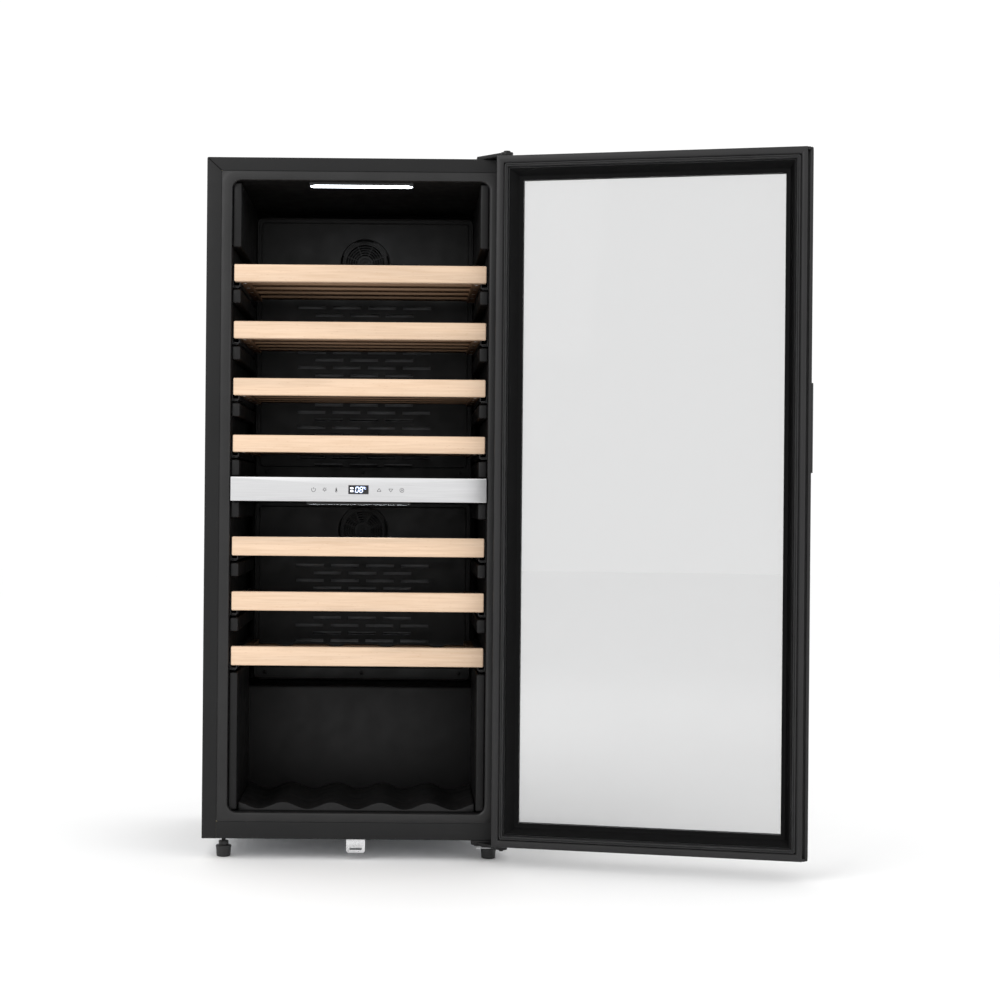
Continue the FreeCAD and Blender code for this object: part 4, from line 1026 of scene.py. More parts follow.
@dataclass
class ControlPanel(SubAssembly):
    """Brushed fascia with its display, touch symbols, housing and board.

    Attributes:
        ink_line: width of the printed lines.
        digit_h: height of the display's digits.
        symbol_z: drop of the symbols below the fascia's middle.
        icon_r: radius of the round symbols.
        digit_line: width of a digit's segments.
    """

    ink_line: float = 0.75 * MM
    digit_h: float = 9.5 * MM
    symbol_z: float = -0.5 * MM
    icon_r: float = 3.6 * MM
    digit_line: float = 1.15 * MM

    def build(self) -> None:
        """Plate, window, digits and symbols, then what is behind them."""
        plate = node_box("control_fascia")
        window = node_box("display_window")
        self.piece("fascia_plate", self.plate(plate, window), FASCIA_STEEL, "fascia_steel",
                   ["control_fascia"])
        glass = Box(window.low + Vector((0, 0.15 * MM, 0)), window.high)
        self.piece("display_pane", block(glass, 0.25 * MM), DISPLAY_BLACK, "display_black",
                   ["display_window"])
        face = (glass.low.y - 0.1 * MM, glass.low.y + 0.2 * MM)
        self.piece("display_digits", self.digits(window, face), DIGIT_GLOW, "display_black")
        self.piece("display_symbols", self.symbols(window, face), SYMBOL_GLOW, "display_black")
        ink = (plate.low.y - 0.06 * MM, plate.low.y + 0.3 * MM)
        self.piece("touch_icons", self.icons(plate.centre.z + self.symbol_z, ink), INK, "display_black")
        self.dress("control_housing", BLACK_PLASTIC)
        self.dress("control_board", BOARD)

    @staticmethod
    def plate(plate: Box, window: Box) -> Mesh:
        """Folded plate with rounded ends of its bends and a hole for the display."""
        x, z, front = (plate.low.x, plate.high.x), (plate.low.z, plate.high.z), plate.low.y
        hole_x, hole_z = (window.low.x, window.high.x), (window.low.z, window.high.z)
        sheet = 1.2 * MM
        outer = [(0.0, plate.high.y, 0.6), (0.0, front + 1.0 * MM, 0.6), (0.3 * MM, front + 0.3 * MM, 0.6),
                 (1.0 * MM, front, 0.6)]
        loops = [rounded_loop((x[0] + i, x[1] - i), (z[0] + i, z[1] - i), y, r * MM) for i, y, r in outer]
        grow = ((0.3 * MM, front), (0.0, front + 0.3 * MM), (0.0, front + sheet))
        loops += [rounded_loop((hole_x[0] - g, hole_x[1] + g), (hole_z[0] - g, hole_z[1] + g), y, 1 * MM)
                  for g, y in grow]
        inside = [(sheet * 1.5, front + sheet), (sheet, front + sheet * 1.6), (sheet, plate.high.y)]
        loops += [rounded_loop((x[0] + i, x[1] - i), (z[0] + i, z[1] - i), y, 0.4 * MM) for i, y in inside]
        return loft(loops, closed=True)

    def digits(self, window: Box, face: Span) -> Mesh:
        """Two seven-segment digits and a small degree mark."""
        h, w = self.digit_h, self.digit_h * 0.52
        low = window.centre.z - h / 2
        lit = {"0": "abcdef", "8": "abcdefg"}
        ends = {"a": ((0, 1), (1, 1)), "b": ((1, 1), (1, 0.5)), "c": ((1, 0.5), (1, 0)),
                "d": ((0, 0), (1, 0)), "e": ((0, 0.5), (0, 0)), "f": ((0, 1), (0, 0.5)),
                "g": ((0, 0.5), (1, 0.5))}
        bars = []
        slant, cut = 0.9 * MM, 0.12
        for place, digit in enumerate("08"):
            left = window.centre.x - 5.6 * MM + place * (w + 2.6 * MM)
            for segment in lit[digit]:
                a, b = [(left + u * w + v * slant, low + v * h) for u, v in ends[segment]]
                short = [tuple(p[i] + (q[i] - p[i]) * cut for i in (0, 1)) for p, q in ((a, b), (b, a))]
                bars.append(stroke(short, self.digit_line, face))
        degree = arc(window.centre.x + 9.6 * MM, low + h - 0.6 * MM, 0.9 * MM, 0, 360, 12)
        unit = arc(window.centre.x + 12.2 * MM, low + h - 2.2 * MM, 1.5 * MM, 45, 315, 12)
        bars += [stroke(degree, 0.5 * MM, face), stroke(unit, 0.6 * MM, face)]
        return merged(bars)

    @staticmethod
    def symbols(window: Box, face: Span) -> Mesh:
        """Two small zone marks at the left of the display."""
        marks = []
        left = window.low.x + 3.4 * MM
        for z in (window.centre.z + 2.6 * MM, window.centre.z - 2.6 * MM):
            marks.append(stroke([(left, z), (left + 5.4 * MM, z)], 3.0 * MM, face))
        return merged(marks)

    def icons(self, z: float, ink: Span) -> Mesh:
        """Printed touch marks: power, lamp, thermometer, up, down and set."""
        r = self.icon_r
        power, lamp, heat, up, down, enter = (MIDDLE_X + step * MM for step in (-81, -61, -40, 37, 58, 78))
        bulb, lamp_z = z - 2.6 * MM, z + 0.4 * MM
        lines: list[tuple[Plan, float]] = [(arc(power, z, r, 125, 415), 1.0)]
        lines.append(([(power, z + 0.6 * MM), (power, z + r + 0.9 * MM)], 1.0))
        lines.append((arc(lamp, lamp_z, r * 0.55, 0, 360), 1.0))
        lines.append(([(lamp - 1.1 * MM, bulb), (lamp + 1.1 * MM, bulb)], 1.0))
        for k in range(7):
            angle = math.radians(-30 + 40 * k)
            lines.append(([(lamp + far * math.cos(angle), lamp_z + far * math.sin(angle))
                           for far in (r * 0.85, r * 1.15)], 0.8))
        stem = 0.85 * MM
        tube = [(heat - stem, z - 1.4 * MM), (heat - stem, z + 3.4 * MM), (heat + stem, z + 3.4 * MM),
                (heat + stem, z - 1.4 * MM)]
        lines += [(arc(heat, bulb, 1.5 * MM, 125, 415), 1.0), (tube, 1.0)]
        lines.append(([(heat, bulb), (heat, z + 1.4 * MM)], 1.5))
        for x, sign in ((up, 1), (down, -1)):
            tip, foot = z + sign * r * 0.85, z - sign * r * 0.6
            lines.append(([(x - r, foot), (x, tip), (x + r, foot), (x - r, foot)], 1.0))
        lines += [(arc(enter, z, r, 0, 360), 1.0), (arc(enter, z, r * 0.35, 0, 360, 12), 1.0)]
        return merged(stroke(points, self.ink_line * weight, ink) for points, weight in lines)


@dataclass
class StripLights(SubAssembly):
    """The lights under the ceiling and under the divider.

    Attributes:
        proud: how far the frosted lens stands out of its housing.
    """

    proud: float = 0.3 * MM

    def build(self) -> None:
        """A frosted lens with a tapered lit window under it, in a rounded housing, twice."""
        self.soft_node("light_housings", 0.8 * MM, BLACK_PLASTIC, "liner_black")
        lenses = solid_boxes("light_lenses")
        plates = [block(Box(lens.low - Vector((0, 0, self.proud)), lens.high), 0.5 * MM) for lens in lenses]
        self.piece("frosted_lenses", merged(plates), FROSTED, "lens_white", ["light_lenses"])
        self.piece("light_windows", merged(self.window(lens) for lens in lenses), LED_LENS, "lens_white")

    def window(self, lens: Box) -> Mesh:
        """Lit window under one lens.

        Args:
            lens: the lens's box.

        Returns:
            A thin plate with tapered ends.
        """
        plan = ((-0.9, -0.9), (-1.0, -0.2), (-1.0, 0.3), (-0.94, 0.8), (0.94, 0.8), (1.0, 0.3), (1.0, -0.2),
                (0.9, -0.9))
        half = lens.size / 2
        levels = (lens.low.z - self.proud + 0.2 * MM, lens.low.z - self.proud - 0.04 * MM)
        return loft([[Vector((lens.centre.x + u * half.x, lens.centre.y + v * half.y, z)) for u, v in plan]
                     for z in levels])


@dataclass
class AirDucts(SubAssembly):
    """Duct covers, fans and evaporators of both zones.

    Attributes:
        corner: radius of the covers' corners.
        step_in: distance from a cover's edge to its inner bead.
        step_up: the same at the lower edge, above the screws.
        screw_in: distance from a side to the outer screws.
        bead: height of the beads.
        outer_w: width of the outer bead.
        inner_w: width of the inner bead.
        screw_r: radius of a screw's head.
        hub_r: radius of the hub before a fan.
        guard_r: radii of the rings round the hub and round the guard.
    """

    corner: float = 12 * MM
    step_in: float = 9 * MM
    step_up: float = 24 * MM
    screw_in: float = 23 * MM
    bead: float = 1.6 * MM
    outer_w: float = 3.4 * MM
    inner_w: float = 2.4 * MM
    screw_r: float = 4 * MM
    hub_r: float = 12 * MM
    guard_r: Span = (6.5 * MM, 49.6 * MM)

    def build(self) -> None:
        """Covers as framed, with moulded beads, screws and rounded guard hubs on their faces."""
        beads, screws, hubs = [], [], []
        fans = {"upper": node_box("upper_fan_rotor").centre, "lower": node_box("lower_fan_rotor").centre}
        for zone, fan in fans.items():
            node = zone + "_duct_cover"
            # Covers take the darker copy of the liner plastic: painted shade at the back.
            self.dress(node, SHADED_COVER_PLASTIC)
            box = node_box(node)
            x, z = (box.low.x, box.high.x), (box.low.z, box.high.z)
            beads.append(self.ring(x, z, box.low.y, self.corner, self.outer_w))
            inner_x = (x[0] + self.step_in, x[1] - self.step_in)
            inner_z = (z[0] + self.step_up, z[1] - self.step_in)
            beads.append(self.ring(inner_x, inner_z, box.low.y, self.corner - 4 * MM, self.inner_w))
            for place in (x[0] + self.screw_in, box.centre.x, x[1] - self.screw_in):
                spot = Vector((place, box.low.y, z[0] + self.step_up * 0.6))
                screws.append(self.button(spot, self.screw_r))
            middle = Vector((fan.x, box.low.y, fan.z))
            hubs.append(self.button(middle, self.hub_r))
            hubs += [self.circle(middle, radius) for radius in self.guard_r]
        self.piece("duct_cover_beads", merged(beads), SHADED_COVER_PLASTIC, "liner_black")
        self.piece("duct_cover_screws", merged(screws), BLACK_PLASTIC, "liner_black")
        self.piece("fan_guard_hubs", merged(hubs), BLACK_PLASTIC, "liner_black")
        self.dress("fan_frames", BLACK_PLASTIC)
        # Evaporator plates take the darkened aluminium: painted shade behind the covers.
        self.dress("evaporator_plates", SHADED_EVAPORATOR)

    def ring(self, x: Span, z: Span, y: float, corner: float, width: float) -> Mesh:
        """Half-round bead along a rectangle on a cover's face.

        Args:
            x: its outer sides.
            z: its lower and upper sides.
            y: the cover's face.
            corner: its corner radius.
            width: width of the bead.

        Returns:
            A closed bmesh.
        """
        profile = [(0.0, y + 0.4 * MM), (0.0, y)]
        steps = 8
        for k in range(1, steps):
            turn = math.pi * k / steps
            profile.append((width / 2 * (1 - math.cos(turn)), y - self.bead * math.sin(turn)))
        profile += [(width, y), (width, y + 0.4 * MM)]
        return swept_ring(x, z, profile, corner)

    @staticmethod
    def button(centre: Vector, radius: float) -> Mesh:
        """Domed disc with a dimple that faces the front."""
        profile = [(radius, -0.3 * MM), (radius, 0.5 * MM), (radius * 0.8, 1.1 * MM),
                   (radius * 0.42, 1.3 * MM), (radius * 0.3, 0.6 * MM)]
        bm = lathe(profile, Vector((0, 0, 0)), 32)
        place = Matrix.Translation(centre) @ Matrix.Rotation(math.pi / 2, 4, "X")
        bmesh.ops.transform(bm, matrix=place, verts=bm.verts)
        return bm

    @staticmethod
    def circle(centre: Vector, radius: float) -> Mesh:
        """Thin raised ring on a cover's face."""
        section = [(radius + out * MM, rise * MM)
                   for out, rise in ((-0.7, 0.2), (-0.5, -0.8), (0.0, -1.1), (0.5, -0.8), (0.7, 0.2))]
        return loft([[centre + Vector((r * c, rise, r * s)) for c, s in full_turn(64)] for r, rise in section],
                    closed=True)


@dataclass
class FanRotor(SubAssembly):
    """One bladed rotor.

    Attributes:
        node: its frame node.
    """

    node: str = ""

    def build(self) -> None:
        """The rotor keeps its shape."""
        self.dress(self.node, BLACK_PLASTIC)


@dataclass
class Shelf(SubAssembly):
    """A pull-out shelf: front board, beams, slats with bottle seats, and its moving slides.

    Attributes:
        node: its frame node.
        board_round: rounding of the front board.
        seat_r: radius of a bottle seat.
        seat_pitch: distance between seats.
        seat_depth: depth of a seat.
        board_min: solids wider than this are the front board.
        slat_min: solids wider than this, up to board_min, are slats.
        long_min: solids deeper than this are beams or slides.
        slide_min: of those, the ones at least this high are slides.
    """

    node: str = ""
    board_round: float = 2.2 * MM
    seat_r: float = 42 * MM
    seat_pitch: float = 100 * MM
    seat_depth: float = 4 * MM
    board_min: float = 420 * MM
    slat_min: float = 300 * MM
    long_min: float = 250 * MM
    slide_min: float = 26 * MM

    def build(self) -> None:
        """Sorts the frame's solids by their sizes and makes each one."""
        solids = solid_boxes(self.node)
        boards = [b for b in solids if b.size.x > self.board_min]
        slats = [b for b in solids if self.slat_min < b.size.x <= self.board_min]
        long = [b for b in solids if b.size.y > self.long_min]
        beams = [b for b in long if b.size.z < self.slide_min]
        slides = [b for b in long if b.size.z >= self.slide_min]
        front = block(boards[0], self.board_round, 4)
        self.piece(self.node + "_front_board", front, FRONT_BEECH, "beech", [self.node])
        # Slats and beams take the darker beech: painted shade under the front board.
        self.piece(self.node + "_slats", merged(self.slat(b) for b in slats), SHADED_SLAT_BEECH, "beech")
        self.piece(self.node + "_beams", merged(block(b, 1.2 * MM) for b in beams), SHADED_BEAM_BEECH, "beech")
        runners = merged(channel(b, SLIDE_SHEET, b.centre.x > MIDDLE_X) for b in slides)
        self.piece(self.node + "_runners", runners, SLIDE_PAINT, "slide_steel")
        self.piece(self.node + "_screws", merged(self.screws(beams, slats)), ZINC, "zinc")

    def slat(self, box: Box) -> Mesh:
        """Slat with four bottle seats hollowed in its upper face."""
        half_angle = math.acos(1 - self.seat_depth / self.seat_r)
        outline = [(box.low.x, box.low.z), (box.high.x, box.low.z), (box.high.x, box.high.z)]
        for k in (1.5, 0.5, -0.5, -1.5):
            centre = box.centre.x + k * self.seat_pitch
            for s in range(9):
                angle = half_angle * (1 - s / 4)
                outline.append((centre + self.seat_r * math.sin(angle),
                                box.high.z + self.seat_r * (1 - math.cos(angle)) - self.seat_depth))
        outline.append((box.low.x, box.high.z))
        return extruded(outline, (box.low.y, box.high.y), upright, 0.9 * MM)

    @staticmethod
    def screws(beams: Sequence[Box], slats: Sequence[Box]) -> list[Mesh]:
        """A countersunk screw head under each end of each slat, in the beams' undersides."""
        head = [(3.4 * MM, -0.5 * MM), (3.6 * MM, -0.1 * MM), (3.4 * MM, 0.4 * MM)]
        return [lathe(head, Vector((beam.centre.x, slat.centre.y, beam.low.z)), 20)
                for beam in beams for slat in slats]


def channel(box: Box, sheet: float, web_left: bool) -> Mesh:
    """Folded steel channel that fills a box.

    Args:
        box: its outer box.
        sheet: thickness of the steel.
        web_left: the web is on the box's left side.

    Returns:
        A new bmesh.
    """
    w, h, lip = box.size.x, box.size.z, 3.0 * MM
    thin = w - sheet * 0.6
    outline = [(0, 0), (w, 0), (w, lip), (thin, lip), (thin, sheet), (sheet, sheet), (sheet, h - sheet),
               (thin, h - sheet), (thin, h - lip), (w, h - lip), (w, h), (0, h)]
    web, way = (box.low.x, 1) if web_left else (box.high.x, -1)
    return extruded(outline, (box.low.y, box.high.y), lambda u, v, y: Vector((web + way * u, y, box.low.z + v)),
                    0.35 * MM)


@dataclass
class SlideRails(SubAssembly):
    """The fixed slides on the side walls."""

    def build(self) -> None:
        """A channel for every slide, its web against the wall."""
        rails = solid_boxes("fixed_slides")
        parts = [channel(b, SLIDE_SHEET, b.centre.x < MIDDLE_X) for b in rails]
        self.piece("wall_slides", merged(parts), SLIDE_PAINT, "slide_steel", ["fixed_slides"])


@dataclass
class BottleCradle(SubAssembly):
    """Wavy tray on the floor of the lower compartment.

    Attributes:
        pitch: distance between bottle seats.
        thin: thickness under a seat.
    """

    pitch: float = 88 * MM
    thin: float = 4 * MM

    def build(self) -> None:
        """Humps between the seats, with smooth crests."""
        box = node_box("floor_cradle")
        crest = box.size.z - self.thin
        outline = [(box.low.x, box.low.z), (box.high.x, box.low.z)]
        steps = 120
        for k in range(steps + 1):
            x = box.high.x - box.size.x * k / steps
            wave = 0.5 - 0.5 * math.cos(2 * math.pi * (x - MIDDLE_X) / self.pitch)
            outline.append((x, box.low.z + self.thin + crest * wave))
        bm = extruded(outline, (box.low.y, box.high.y), upright, 1.2 * MM)
        self.piece("cradle_waves", bm, LIT_LINER_PLASTIC, "liner_black", ["floor_cradle"])


@dataclass
class GlassDoor(SubAssembly):
    """Framed double-glazed door, built closed and swung open.

    Attributes:
        border: width from the door's sides to the clear glass.
        border_rise: how much nearer the clear glass comes to the door's lower and upper edges.
        strip: width of the free side's outer strip.
        slot: width of the shadow slot beside it.
        strip_back: how far the strip stands back from the inner face.
        slot_deep: depth of the shadow slot.
        seal_in: distance from the edge to the seal's groove.
        seal_w: width of the groove.
        seal_deep: depth of the groove.
        corner: radius of the glass's corners.
        strip_corner: radius of the outer strip's corners.
        free_extra: how much further the seal and the margin stand in on the free side.
        bevel_rise: how far the trim's bevel ends above the inner glass.
        flat_w: width of the trim's flat strip over the glass edge.
        seal_corner: radius of the seal's corners.
        cap_h: height of the caps at the ends of the shadow slot.
        door: box of the outer glass with the door closed.
        inner: y of the frame's inner face.
        pane_at: depth of the inner glass below that face.
        face: depth of the outer glass below that face.
    """

    body: str = "door"
    border: float = 46 * MM
    border_rise: float = 4 * MM
    strip: float = 6 * MM
    slot: float = 3.5 * MM
    strip_back: float = 8 * MM
    slot_deep: float = 16 * MM
    seal_in: float = 13 * MM
    seal_w: float = 9 * MM
    seal_deep: float = 9 * MM
    corner: float = 6 * MM
    strip_corner: float = 3 * MM
    free_extra: float = 7 * MM
    bevel_rise: float = 7 * MM
    flat_w: float = 7 * MM
    seal_corner: float = 18 * MM
    cap_h: float = 5 * MM
    door: Box = field(init=False)
    inner: float = field(init=False)
    pane_at: float = field(init=False)
    face: float = field(init=False)

    def build(self) -> None:
        """Frame, trim, seal, panes and handle."""
        self.door = closed_box("door_outer_glass")
        self.inner = closed_box("door_frame").high.y
        pane = closed_box("door_inner_glass")
        self.pane_at = self.inner - pane.high.y
        self.face = self.inner - self.door.high.y
        self.hung("door_frame_ring", self.ring(), DOOR_PAINT, "door_black", ["door_frame"])
        self.hung("door_edge_strip", self.edge_strip(), DOOR_PAINT, "door_black")
        self.hung("door_bevel_trim", self.trim(), TRIM_PLASTIC, "liner_black", ["door_inner_trim"])
        self.hung("door_seal", self.seal(), SEAL_RUBBER, "seal_rubber", ["door_gasket"], 50.0)
        outer = softened(loft([rounded_loop(self.side(0), self.rise(0), y, self.corner)
                               for y in (self.door.low.y, self.door.high.y)]), 0.5 * MM)
        self.hung("outer_pane", outer, PANE, "tinted_glass", ["door_outer_glass"])
        self.hung("inner_pane", block(pane, 0.4 * MM), PANE, "tinted_glass", ["door_inner_glass"])
        print_y = (self.door.high.y - 0.3 * MM, self.door.high.y - 0.05 * MM)
        reach = self.border - 2 * MM
        border = [(0.6 * MM, print_y[0]), (reach, print_y[0], 0.0, self.border_rise),
                  (reach, print_y[1], 0.0, self.border_rise), (0.6 * MM, print_y[1])]
        printed = swept_ring(self.side(0), self.rise(0), border, self.corner)
        self.hung("glass_border", printed, FRIT, "tinted_glass")
        self.hung("edge_handle", self.handle(), HANDLE_PAINT, "handle_black", ["door_handle"])
        self.hung("handle_screws", self.handle_screws(), ZINC, "zinc")
        self.dress("glass_spacer", ALUMINIUM)
        self.dress("door_bushes", NYLON)

    def hung(self, name: str, bm: Mesh, finish: Finish, slot: str, replaces: Sequence[str] = (),
             smooth: float = 35.0) -> None:
        """Swings a piece made in the closed door's place, and files it."""
        bmesh.ops.transform(bm, matrix=SWING, verts=bm.verts)
        self.piece(name, bm, finish, slot, replaces, smooth)

    def side(self, inset: float) -> Span:
        """Left and right sides of the door, inset."""
        return (self.door.low.x + inset, self.door.high.x - inset)

    def rise(self, inset: float) -> Span:
        """Lower and upper sides of the door, inset."""
        return (self.door.low.z + inset, self.door.high.z - inset)

    def level(self, depth: float) -> float:
        """The y of a depth below the door's inner face."""
        return self.inner - depth

    def free_gap(self) -> float:
        """How far the frame ring stands in from the free edge."""
        return self.strip + self.slot

    def pull(self) -> float:
        """Extra inset of the seal and the margin on the free side of the frame ring."""
        return self.free_extra - self.free_gap()

    def round_frame(self, profile: Sequence[tuple[float, ...]], radius: float = 0.0) -> Mesh:
        """Profile carried round the frame ring's outer sides."""
        return swept_ring((self.door.low.x + self.free_gap(), self.door.high.x), self.rise(0), profile, radius)

    def ring(self) -> Mesh:
        """Main frame with its flat face, ridge and seal groove."""
        groove = self.seal_in + self.seal_w
        pull = self.pull()
        face = [(0.0, 1.0, 0), (0.35, 0.3, 0), (1.0, 0.0, 0), (11.2, 0.0, 1), (11.7, 0.35, 1), (11.9, 0.9, 1),
                (12.3, 0.9, 1), (12.5, 0.35, 1), (12.8, 0.2, 1)]
        outline = [(i * MM, d * MM, pull * s) for i, d, s in face]
        outline += [(self.seal_in, 0.9 * MM, pull), (self.seal_in, self.seal_deep, pull),
                    (groove, self.seal_deep, pull), (groove, 0.6 * MM, pull), (groove + 0.4 * MM, 0.1 * MM, pull),
                    (groove + 1 * MM, 0.0, pull), (groove + 1.2 * MM, 0.4 * MM, pull),
                    (groove + 1.2 * MM, self.pane_at, pull), (14 * MM, self.pane_at, 0.0),
                    (14 * MM, self.face, 0.0), (0.0, self.face, 0.0)]
        return self.round_frame([(inset, self.level(depth), shift) for inset, depth, shift in outline])

    def edge_strip(self) -> Mesh:
        """Strip along the free edge that carries the glass, with the shadow slot beside the frame."""
        left = self.door.low.x
        back, floor, front = self.level(self.face), self.level(self.slot_deep), self.level(self.strip_back)
        z = self.rise(0)
        parts = []
        steps = 6
        bars = ((left + self.strip, front, 1.1 * MM), (left + self.free_gap() + 1 * MM, floor, 0))
        for right, level, soft in bars:
            outline = []
            for middle, sign in ((z[0] + self.strip_corner, -1), (z[1] - self.strip_corner, 1)):
                for k in range(steps + 1):
                    turn = math.pi / 2 * (k / steps if sign > 0 else 1 - k / steps)
                    outline.append((left + self.strip_corner * (1 - math.cos(turn)),
                                    middle + sign * self.strip_corner * math.sin(turn)))
            outline = [(right, z[0])] + outline + [(right, z[1])]
            bm = loft([[Vector((x, y, w)) for x, w in outline] for y in (back, level)])
            parts.append(softened(bm, soft, 3, 60.0) if soft else bm)
        cap = (left + self.strip - 1 * MM, left + self.free_gap() + 1 * MM)
        for low, high in ((z[0] + 0.2 * MM, z[0] + self.cap_h), (z[1] - self.cap_h, z[1] - 0.2 * MM)):
            place = Box(Vector((cap[0], back, low)), Vector((cap[1], self.level(3 * MM), high)))
            parts.append(block(place, 0.5 * MM))
        return merged(parts)

    def trim(self) -> Mesh:
        """Inner trim: flat margin, mitred bevel and a flat strip over the glass edge."""
        start = self.seal_in + self.seal_w + 1.2 * MM
        outer, inner = self.pull(), -self.free_gap()
        low = self.pane_at - self.bevel_rise
        edge = self.border - self.flat_w
        margin = ((0.0, 2.4), (0.3, 2.1), (1.6, 2.0), (2.2, 2.4))
        profile = [(start + i * MM, self.level(d * MM), outer) for i, d in margin]
        sill = ((edge - 0.6 * MM, low - 0.7 * MM), (edge, low), (edge + 0.8 * MM, low + 0.2 * MM),
                (self.border - 0.8 * MM, low + 0.4 * MM), (self.border, low + 1.2 * MM),
                (self.border, self.pane_at))
        profile += [(i, self.level(d), inner, self.border_rise) for i, d in sill]
        profile.append((start, self.level(self.pane_at), outer))
        return self.round_frame(profile)

    def seal(self) -> Mesh:
        """Two-lobed magnetic seal seated in its groove."""
        lobes = [(0.5, 8.2), (0.6, 1.0), (0.9, 0.2), (1.3, -1.6), (1.9, -3.4), (2.7, -4.3), (3.5, -4.3),
                 (4.1, -3.5), (4.5, -3.2), (4.9, -3.5), (5.5, -4.5), (6.4, -4.5), (7.1, -3.5), (7.6, -1.6),
                 (8.1, 0.2), (8.4, 1.0), (8.5, 8.2)]
        profile = [(self.seal_in + i * MM, self.level(d * MM), self.pull()) for i, d in lobes]
        return self.round_frame(profile, self.seal_corner)

    def handle(self) -> Mesh:
        """Edge pull: plate on the free edge, turned in to a finger lip in front of the glass."""
        box = closed_box("door_handle")
        left, right, low, back = box.low.x, box.high.x, box.low.y, box.high.y
        glass = self.door.low.x
        lip = low + 4 * MM
        outline = [(left, back), (left, low + 3 * MM), (left + 0.9 * MM, low + 0.9 * MM), (left + 3 * MM, low),
                   (right - 1 * MM, low), (right, low + 1 * MM), (right, lip - 1 * MM), (right - 1 * MM, lip),
                   (glass + 2 * MM, lip), (glass, lip + 2 * MM), (glass, back)]
        return extruded(outline, (box.low.z, box.high.z), lambda x, y, z: Vector((x, y, z)), 0.7 * MM)

    def handle_screws(self) -> Mesh:
        """Screw heads on the handle's edge plate."""
        box = closed_box("door_handle")
        heads = []
        head = [(2.6 * MM, -0.2 * MM), (2.6 * MM, 0.1 * MM), (1.9 * MM, 0.45 * MM)]
        turn = Matrix.Rotation(-math.pi / 2, 4, "Y")
        for z in (box.low.z + 16 * MM, box.centre.z, box.high.z - 16 * MM):
            bm = lathe(head, Vector((0, 0, 0)), 20)
            place = Matrix.Translation((box.low.x, box.high.y - 14 * MM, z)) @ turn
            bmesh.ops.transform(bm, matrix=place, verts=bm.verts)
            heads.append(bm)
        return merged(heads)


@dataclass
class Hinges(SubAssembly):
    """Hinge plates with their pins and screws.

    Attributes:
        ear_w: width of the folded ears at the ends of the lower hinge.
        drop: height of the ears.
        apron: depth of the lower hinge's folded front edge below the cabinet.
        shim_w: width of the shim under the leaf.
    """

    ear_w: float = 8 * MM
    drop: float = 7 * MM
    apron: float = 10 * MM
    shim_w: float = 29 * MM

    def build(self) -> None:
        """Stamped plates with softly rounded edges."""
        for node in ("top_hinge", "bottom_hinge"):
            self.soft_node(node, 0.7 * MM, HINGE_PAINT, "hinge_steel")
        self.soft_node("hinge_screws", 0.5 * MM, ZINC, "zinc")
        leaf = node_box("bottom_hinge")
        foot = CASING.low.z
        ears = []
        for x, lean in ((leaf.low.x + 1 * MM, 1), (PIVOT.x + self.ear_w, -1)):
            tip = foot - self.drop
            outline = [(0, foot - 0.5 * MM), (self.ear_w, tip), (self.ear_w, tip - 3 * MM),
                       (self.ear_w * 0.55, tip - 3 * MM), (-1.5 * MM, foot - 2 * MM)]
            ears.append(extruded(outline, (FRONT_Y + 1 * MM, FRONT_Y + 11 * MM),
                                 lambda u, z, y, x=x, lean=lean: Vector((x + lean * u, y, z)), 0.5 * MM))
        self.piece("bottom_hinge_ears", merged(ears), HINGE_PAINT, "hinge_steel")
        ends = (leaf.low.x + 1 * MM, PIVOT.x - 2 * MM)
        low = foot - self.apron
        outline = [(ends[0], foot - 0.3 * MM), (ends[0] + self.ear_w, low), (ends[1], low),
                   (ends[1], foot - 0.3 * MM)]
        flange = extruded(outline, (FRONT_Y + 1.2 * MM, FRONT_Y + 4 * MM), upright, 0.4 * MM)
        self.piece("bottom_hinge_flange", flange, HINGE_PAINT, "hinge_steel")
        edge = Box(Vector((ends[0] + self.ear_w, FRONT_Y - 0.8 * MM, leaf.low.z - 1.2 * MM)),
                   Vector((ends[0] + self.ear_w + self.shim_w, FRONT_Y + 1.3 * MM, leaf.low.z + 0.1 * MM)))
        self.piece("bottom_hinge_shim", block(edge, 0.3 * MM), ZINC, "zinc")


@dataclass
class LevellingFoot(SubAssembly):
    """A screw-in foot with a tapered pad.

    Attributes:
        node: its frame node.
        pitch: pitch of the stud's thread.
        root: radius of the thread's root.
        crest: radius of its crest.
        thread_z: height at which the thread starts.
    """

    node: str = ""
    pitch: float = 1.25 * MM
    root: float = 0.0036
    crest: float = 0.00395
    thread_z: float = 0.0284

    def build(self) -> None:
        """Turned pad, neck and stud."""
        box = node_box(self.node)
        centre = Vector((box.centre.x, box.centre.y, 0))
        outline = [(0.0112, 0.0), (0.0121, 0.0004), (0.0125, 0.0014), (0.0137, 0.0155), (0.0142, 0.0172),
                   (0.0142, 0.0186), (0.0136, 0.0198), (0.0098, 0.0206), (0.0091, 0.0214), (0.009, 0.0272),
                   (0.0086, 0.0279), (0.0041, 0.028)]
        top = box.high.z
        z = self.thread_z
        while z + self.pitch < top - 1 * MM:
            outline += [(self.root, z), (self.crest, z + self.pitch / 2)]
            z += self.pitch
        outline += [(self.root, top - 0.8 * MM), (0.003, top)]
        self.piece(self.node + "_turned", lathe(outline, centre), FOOT_PLASTIC, "foot_plastic", [self.node])


@dataclass
class LockStrike(SubAssembly):
    """Slotted tab under the front rail."""

    def build(self) -> None:
        """Stamped tab with softened edges."""
        self.soft_node("lock_strike", 0.3 * MM, ZINC, "zinc")
        self.dress("foot_sockets", NYLON)


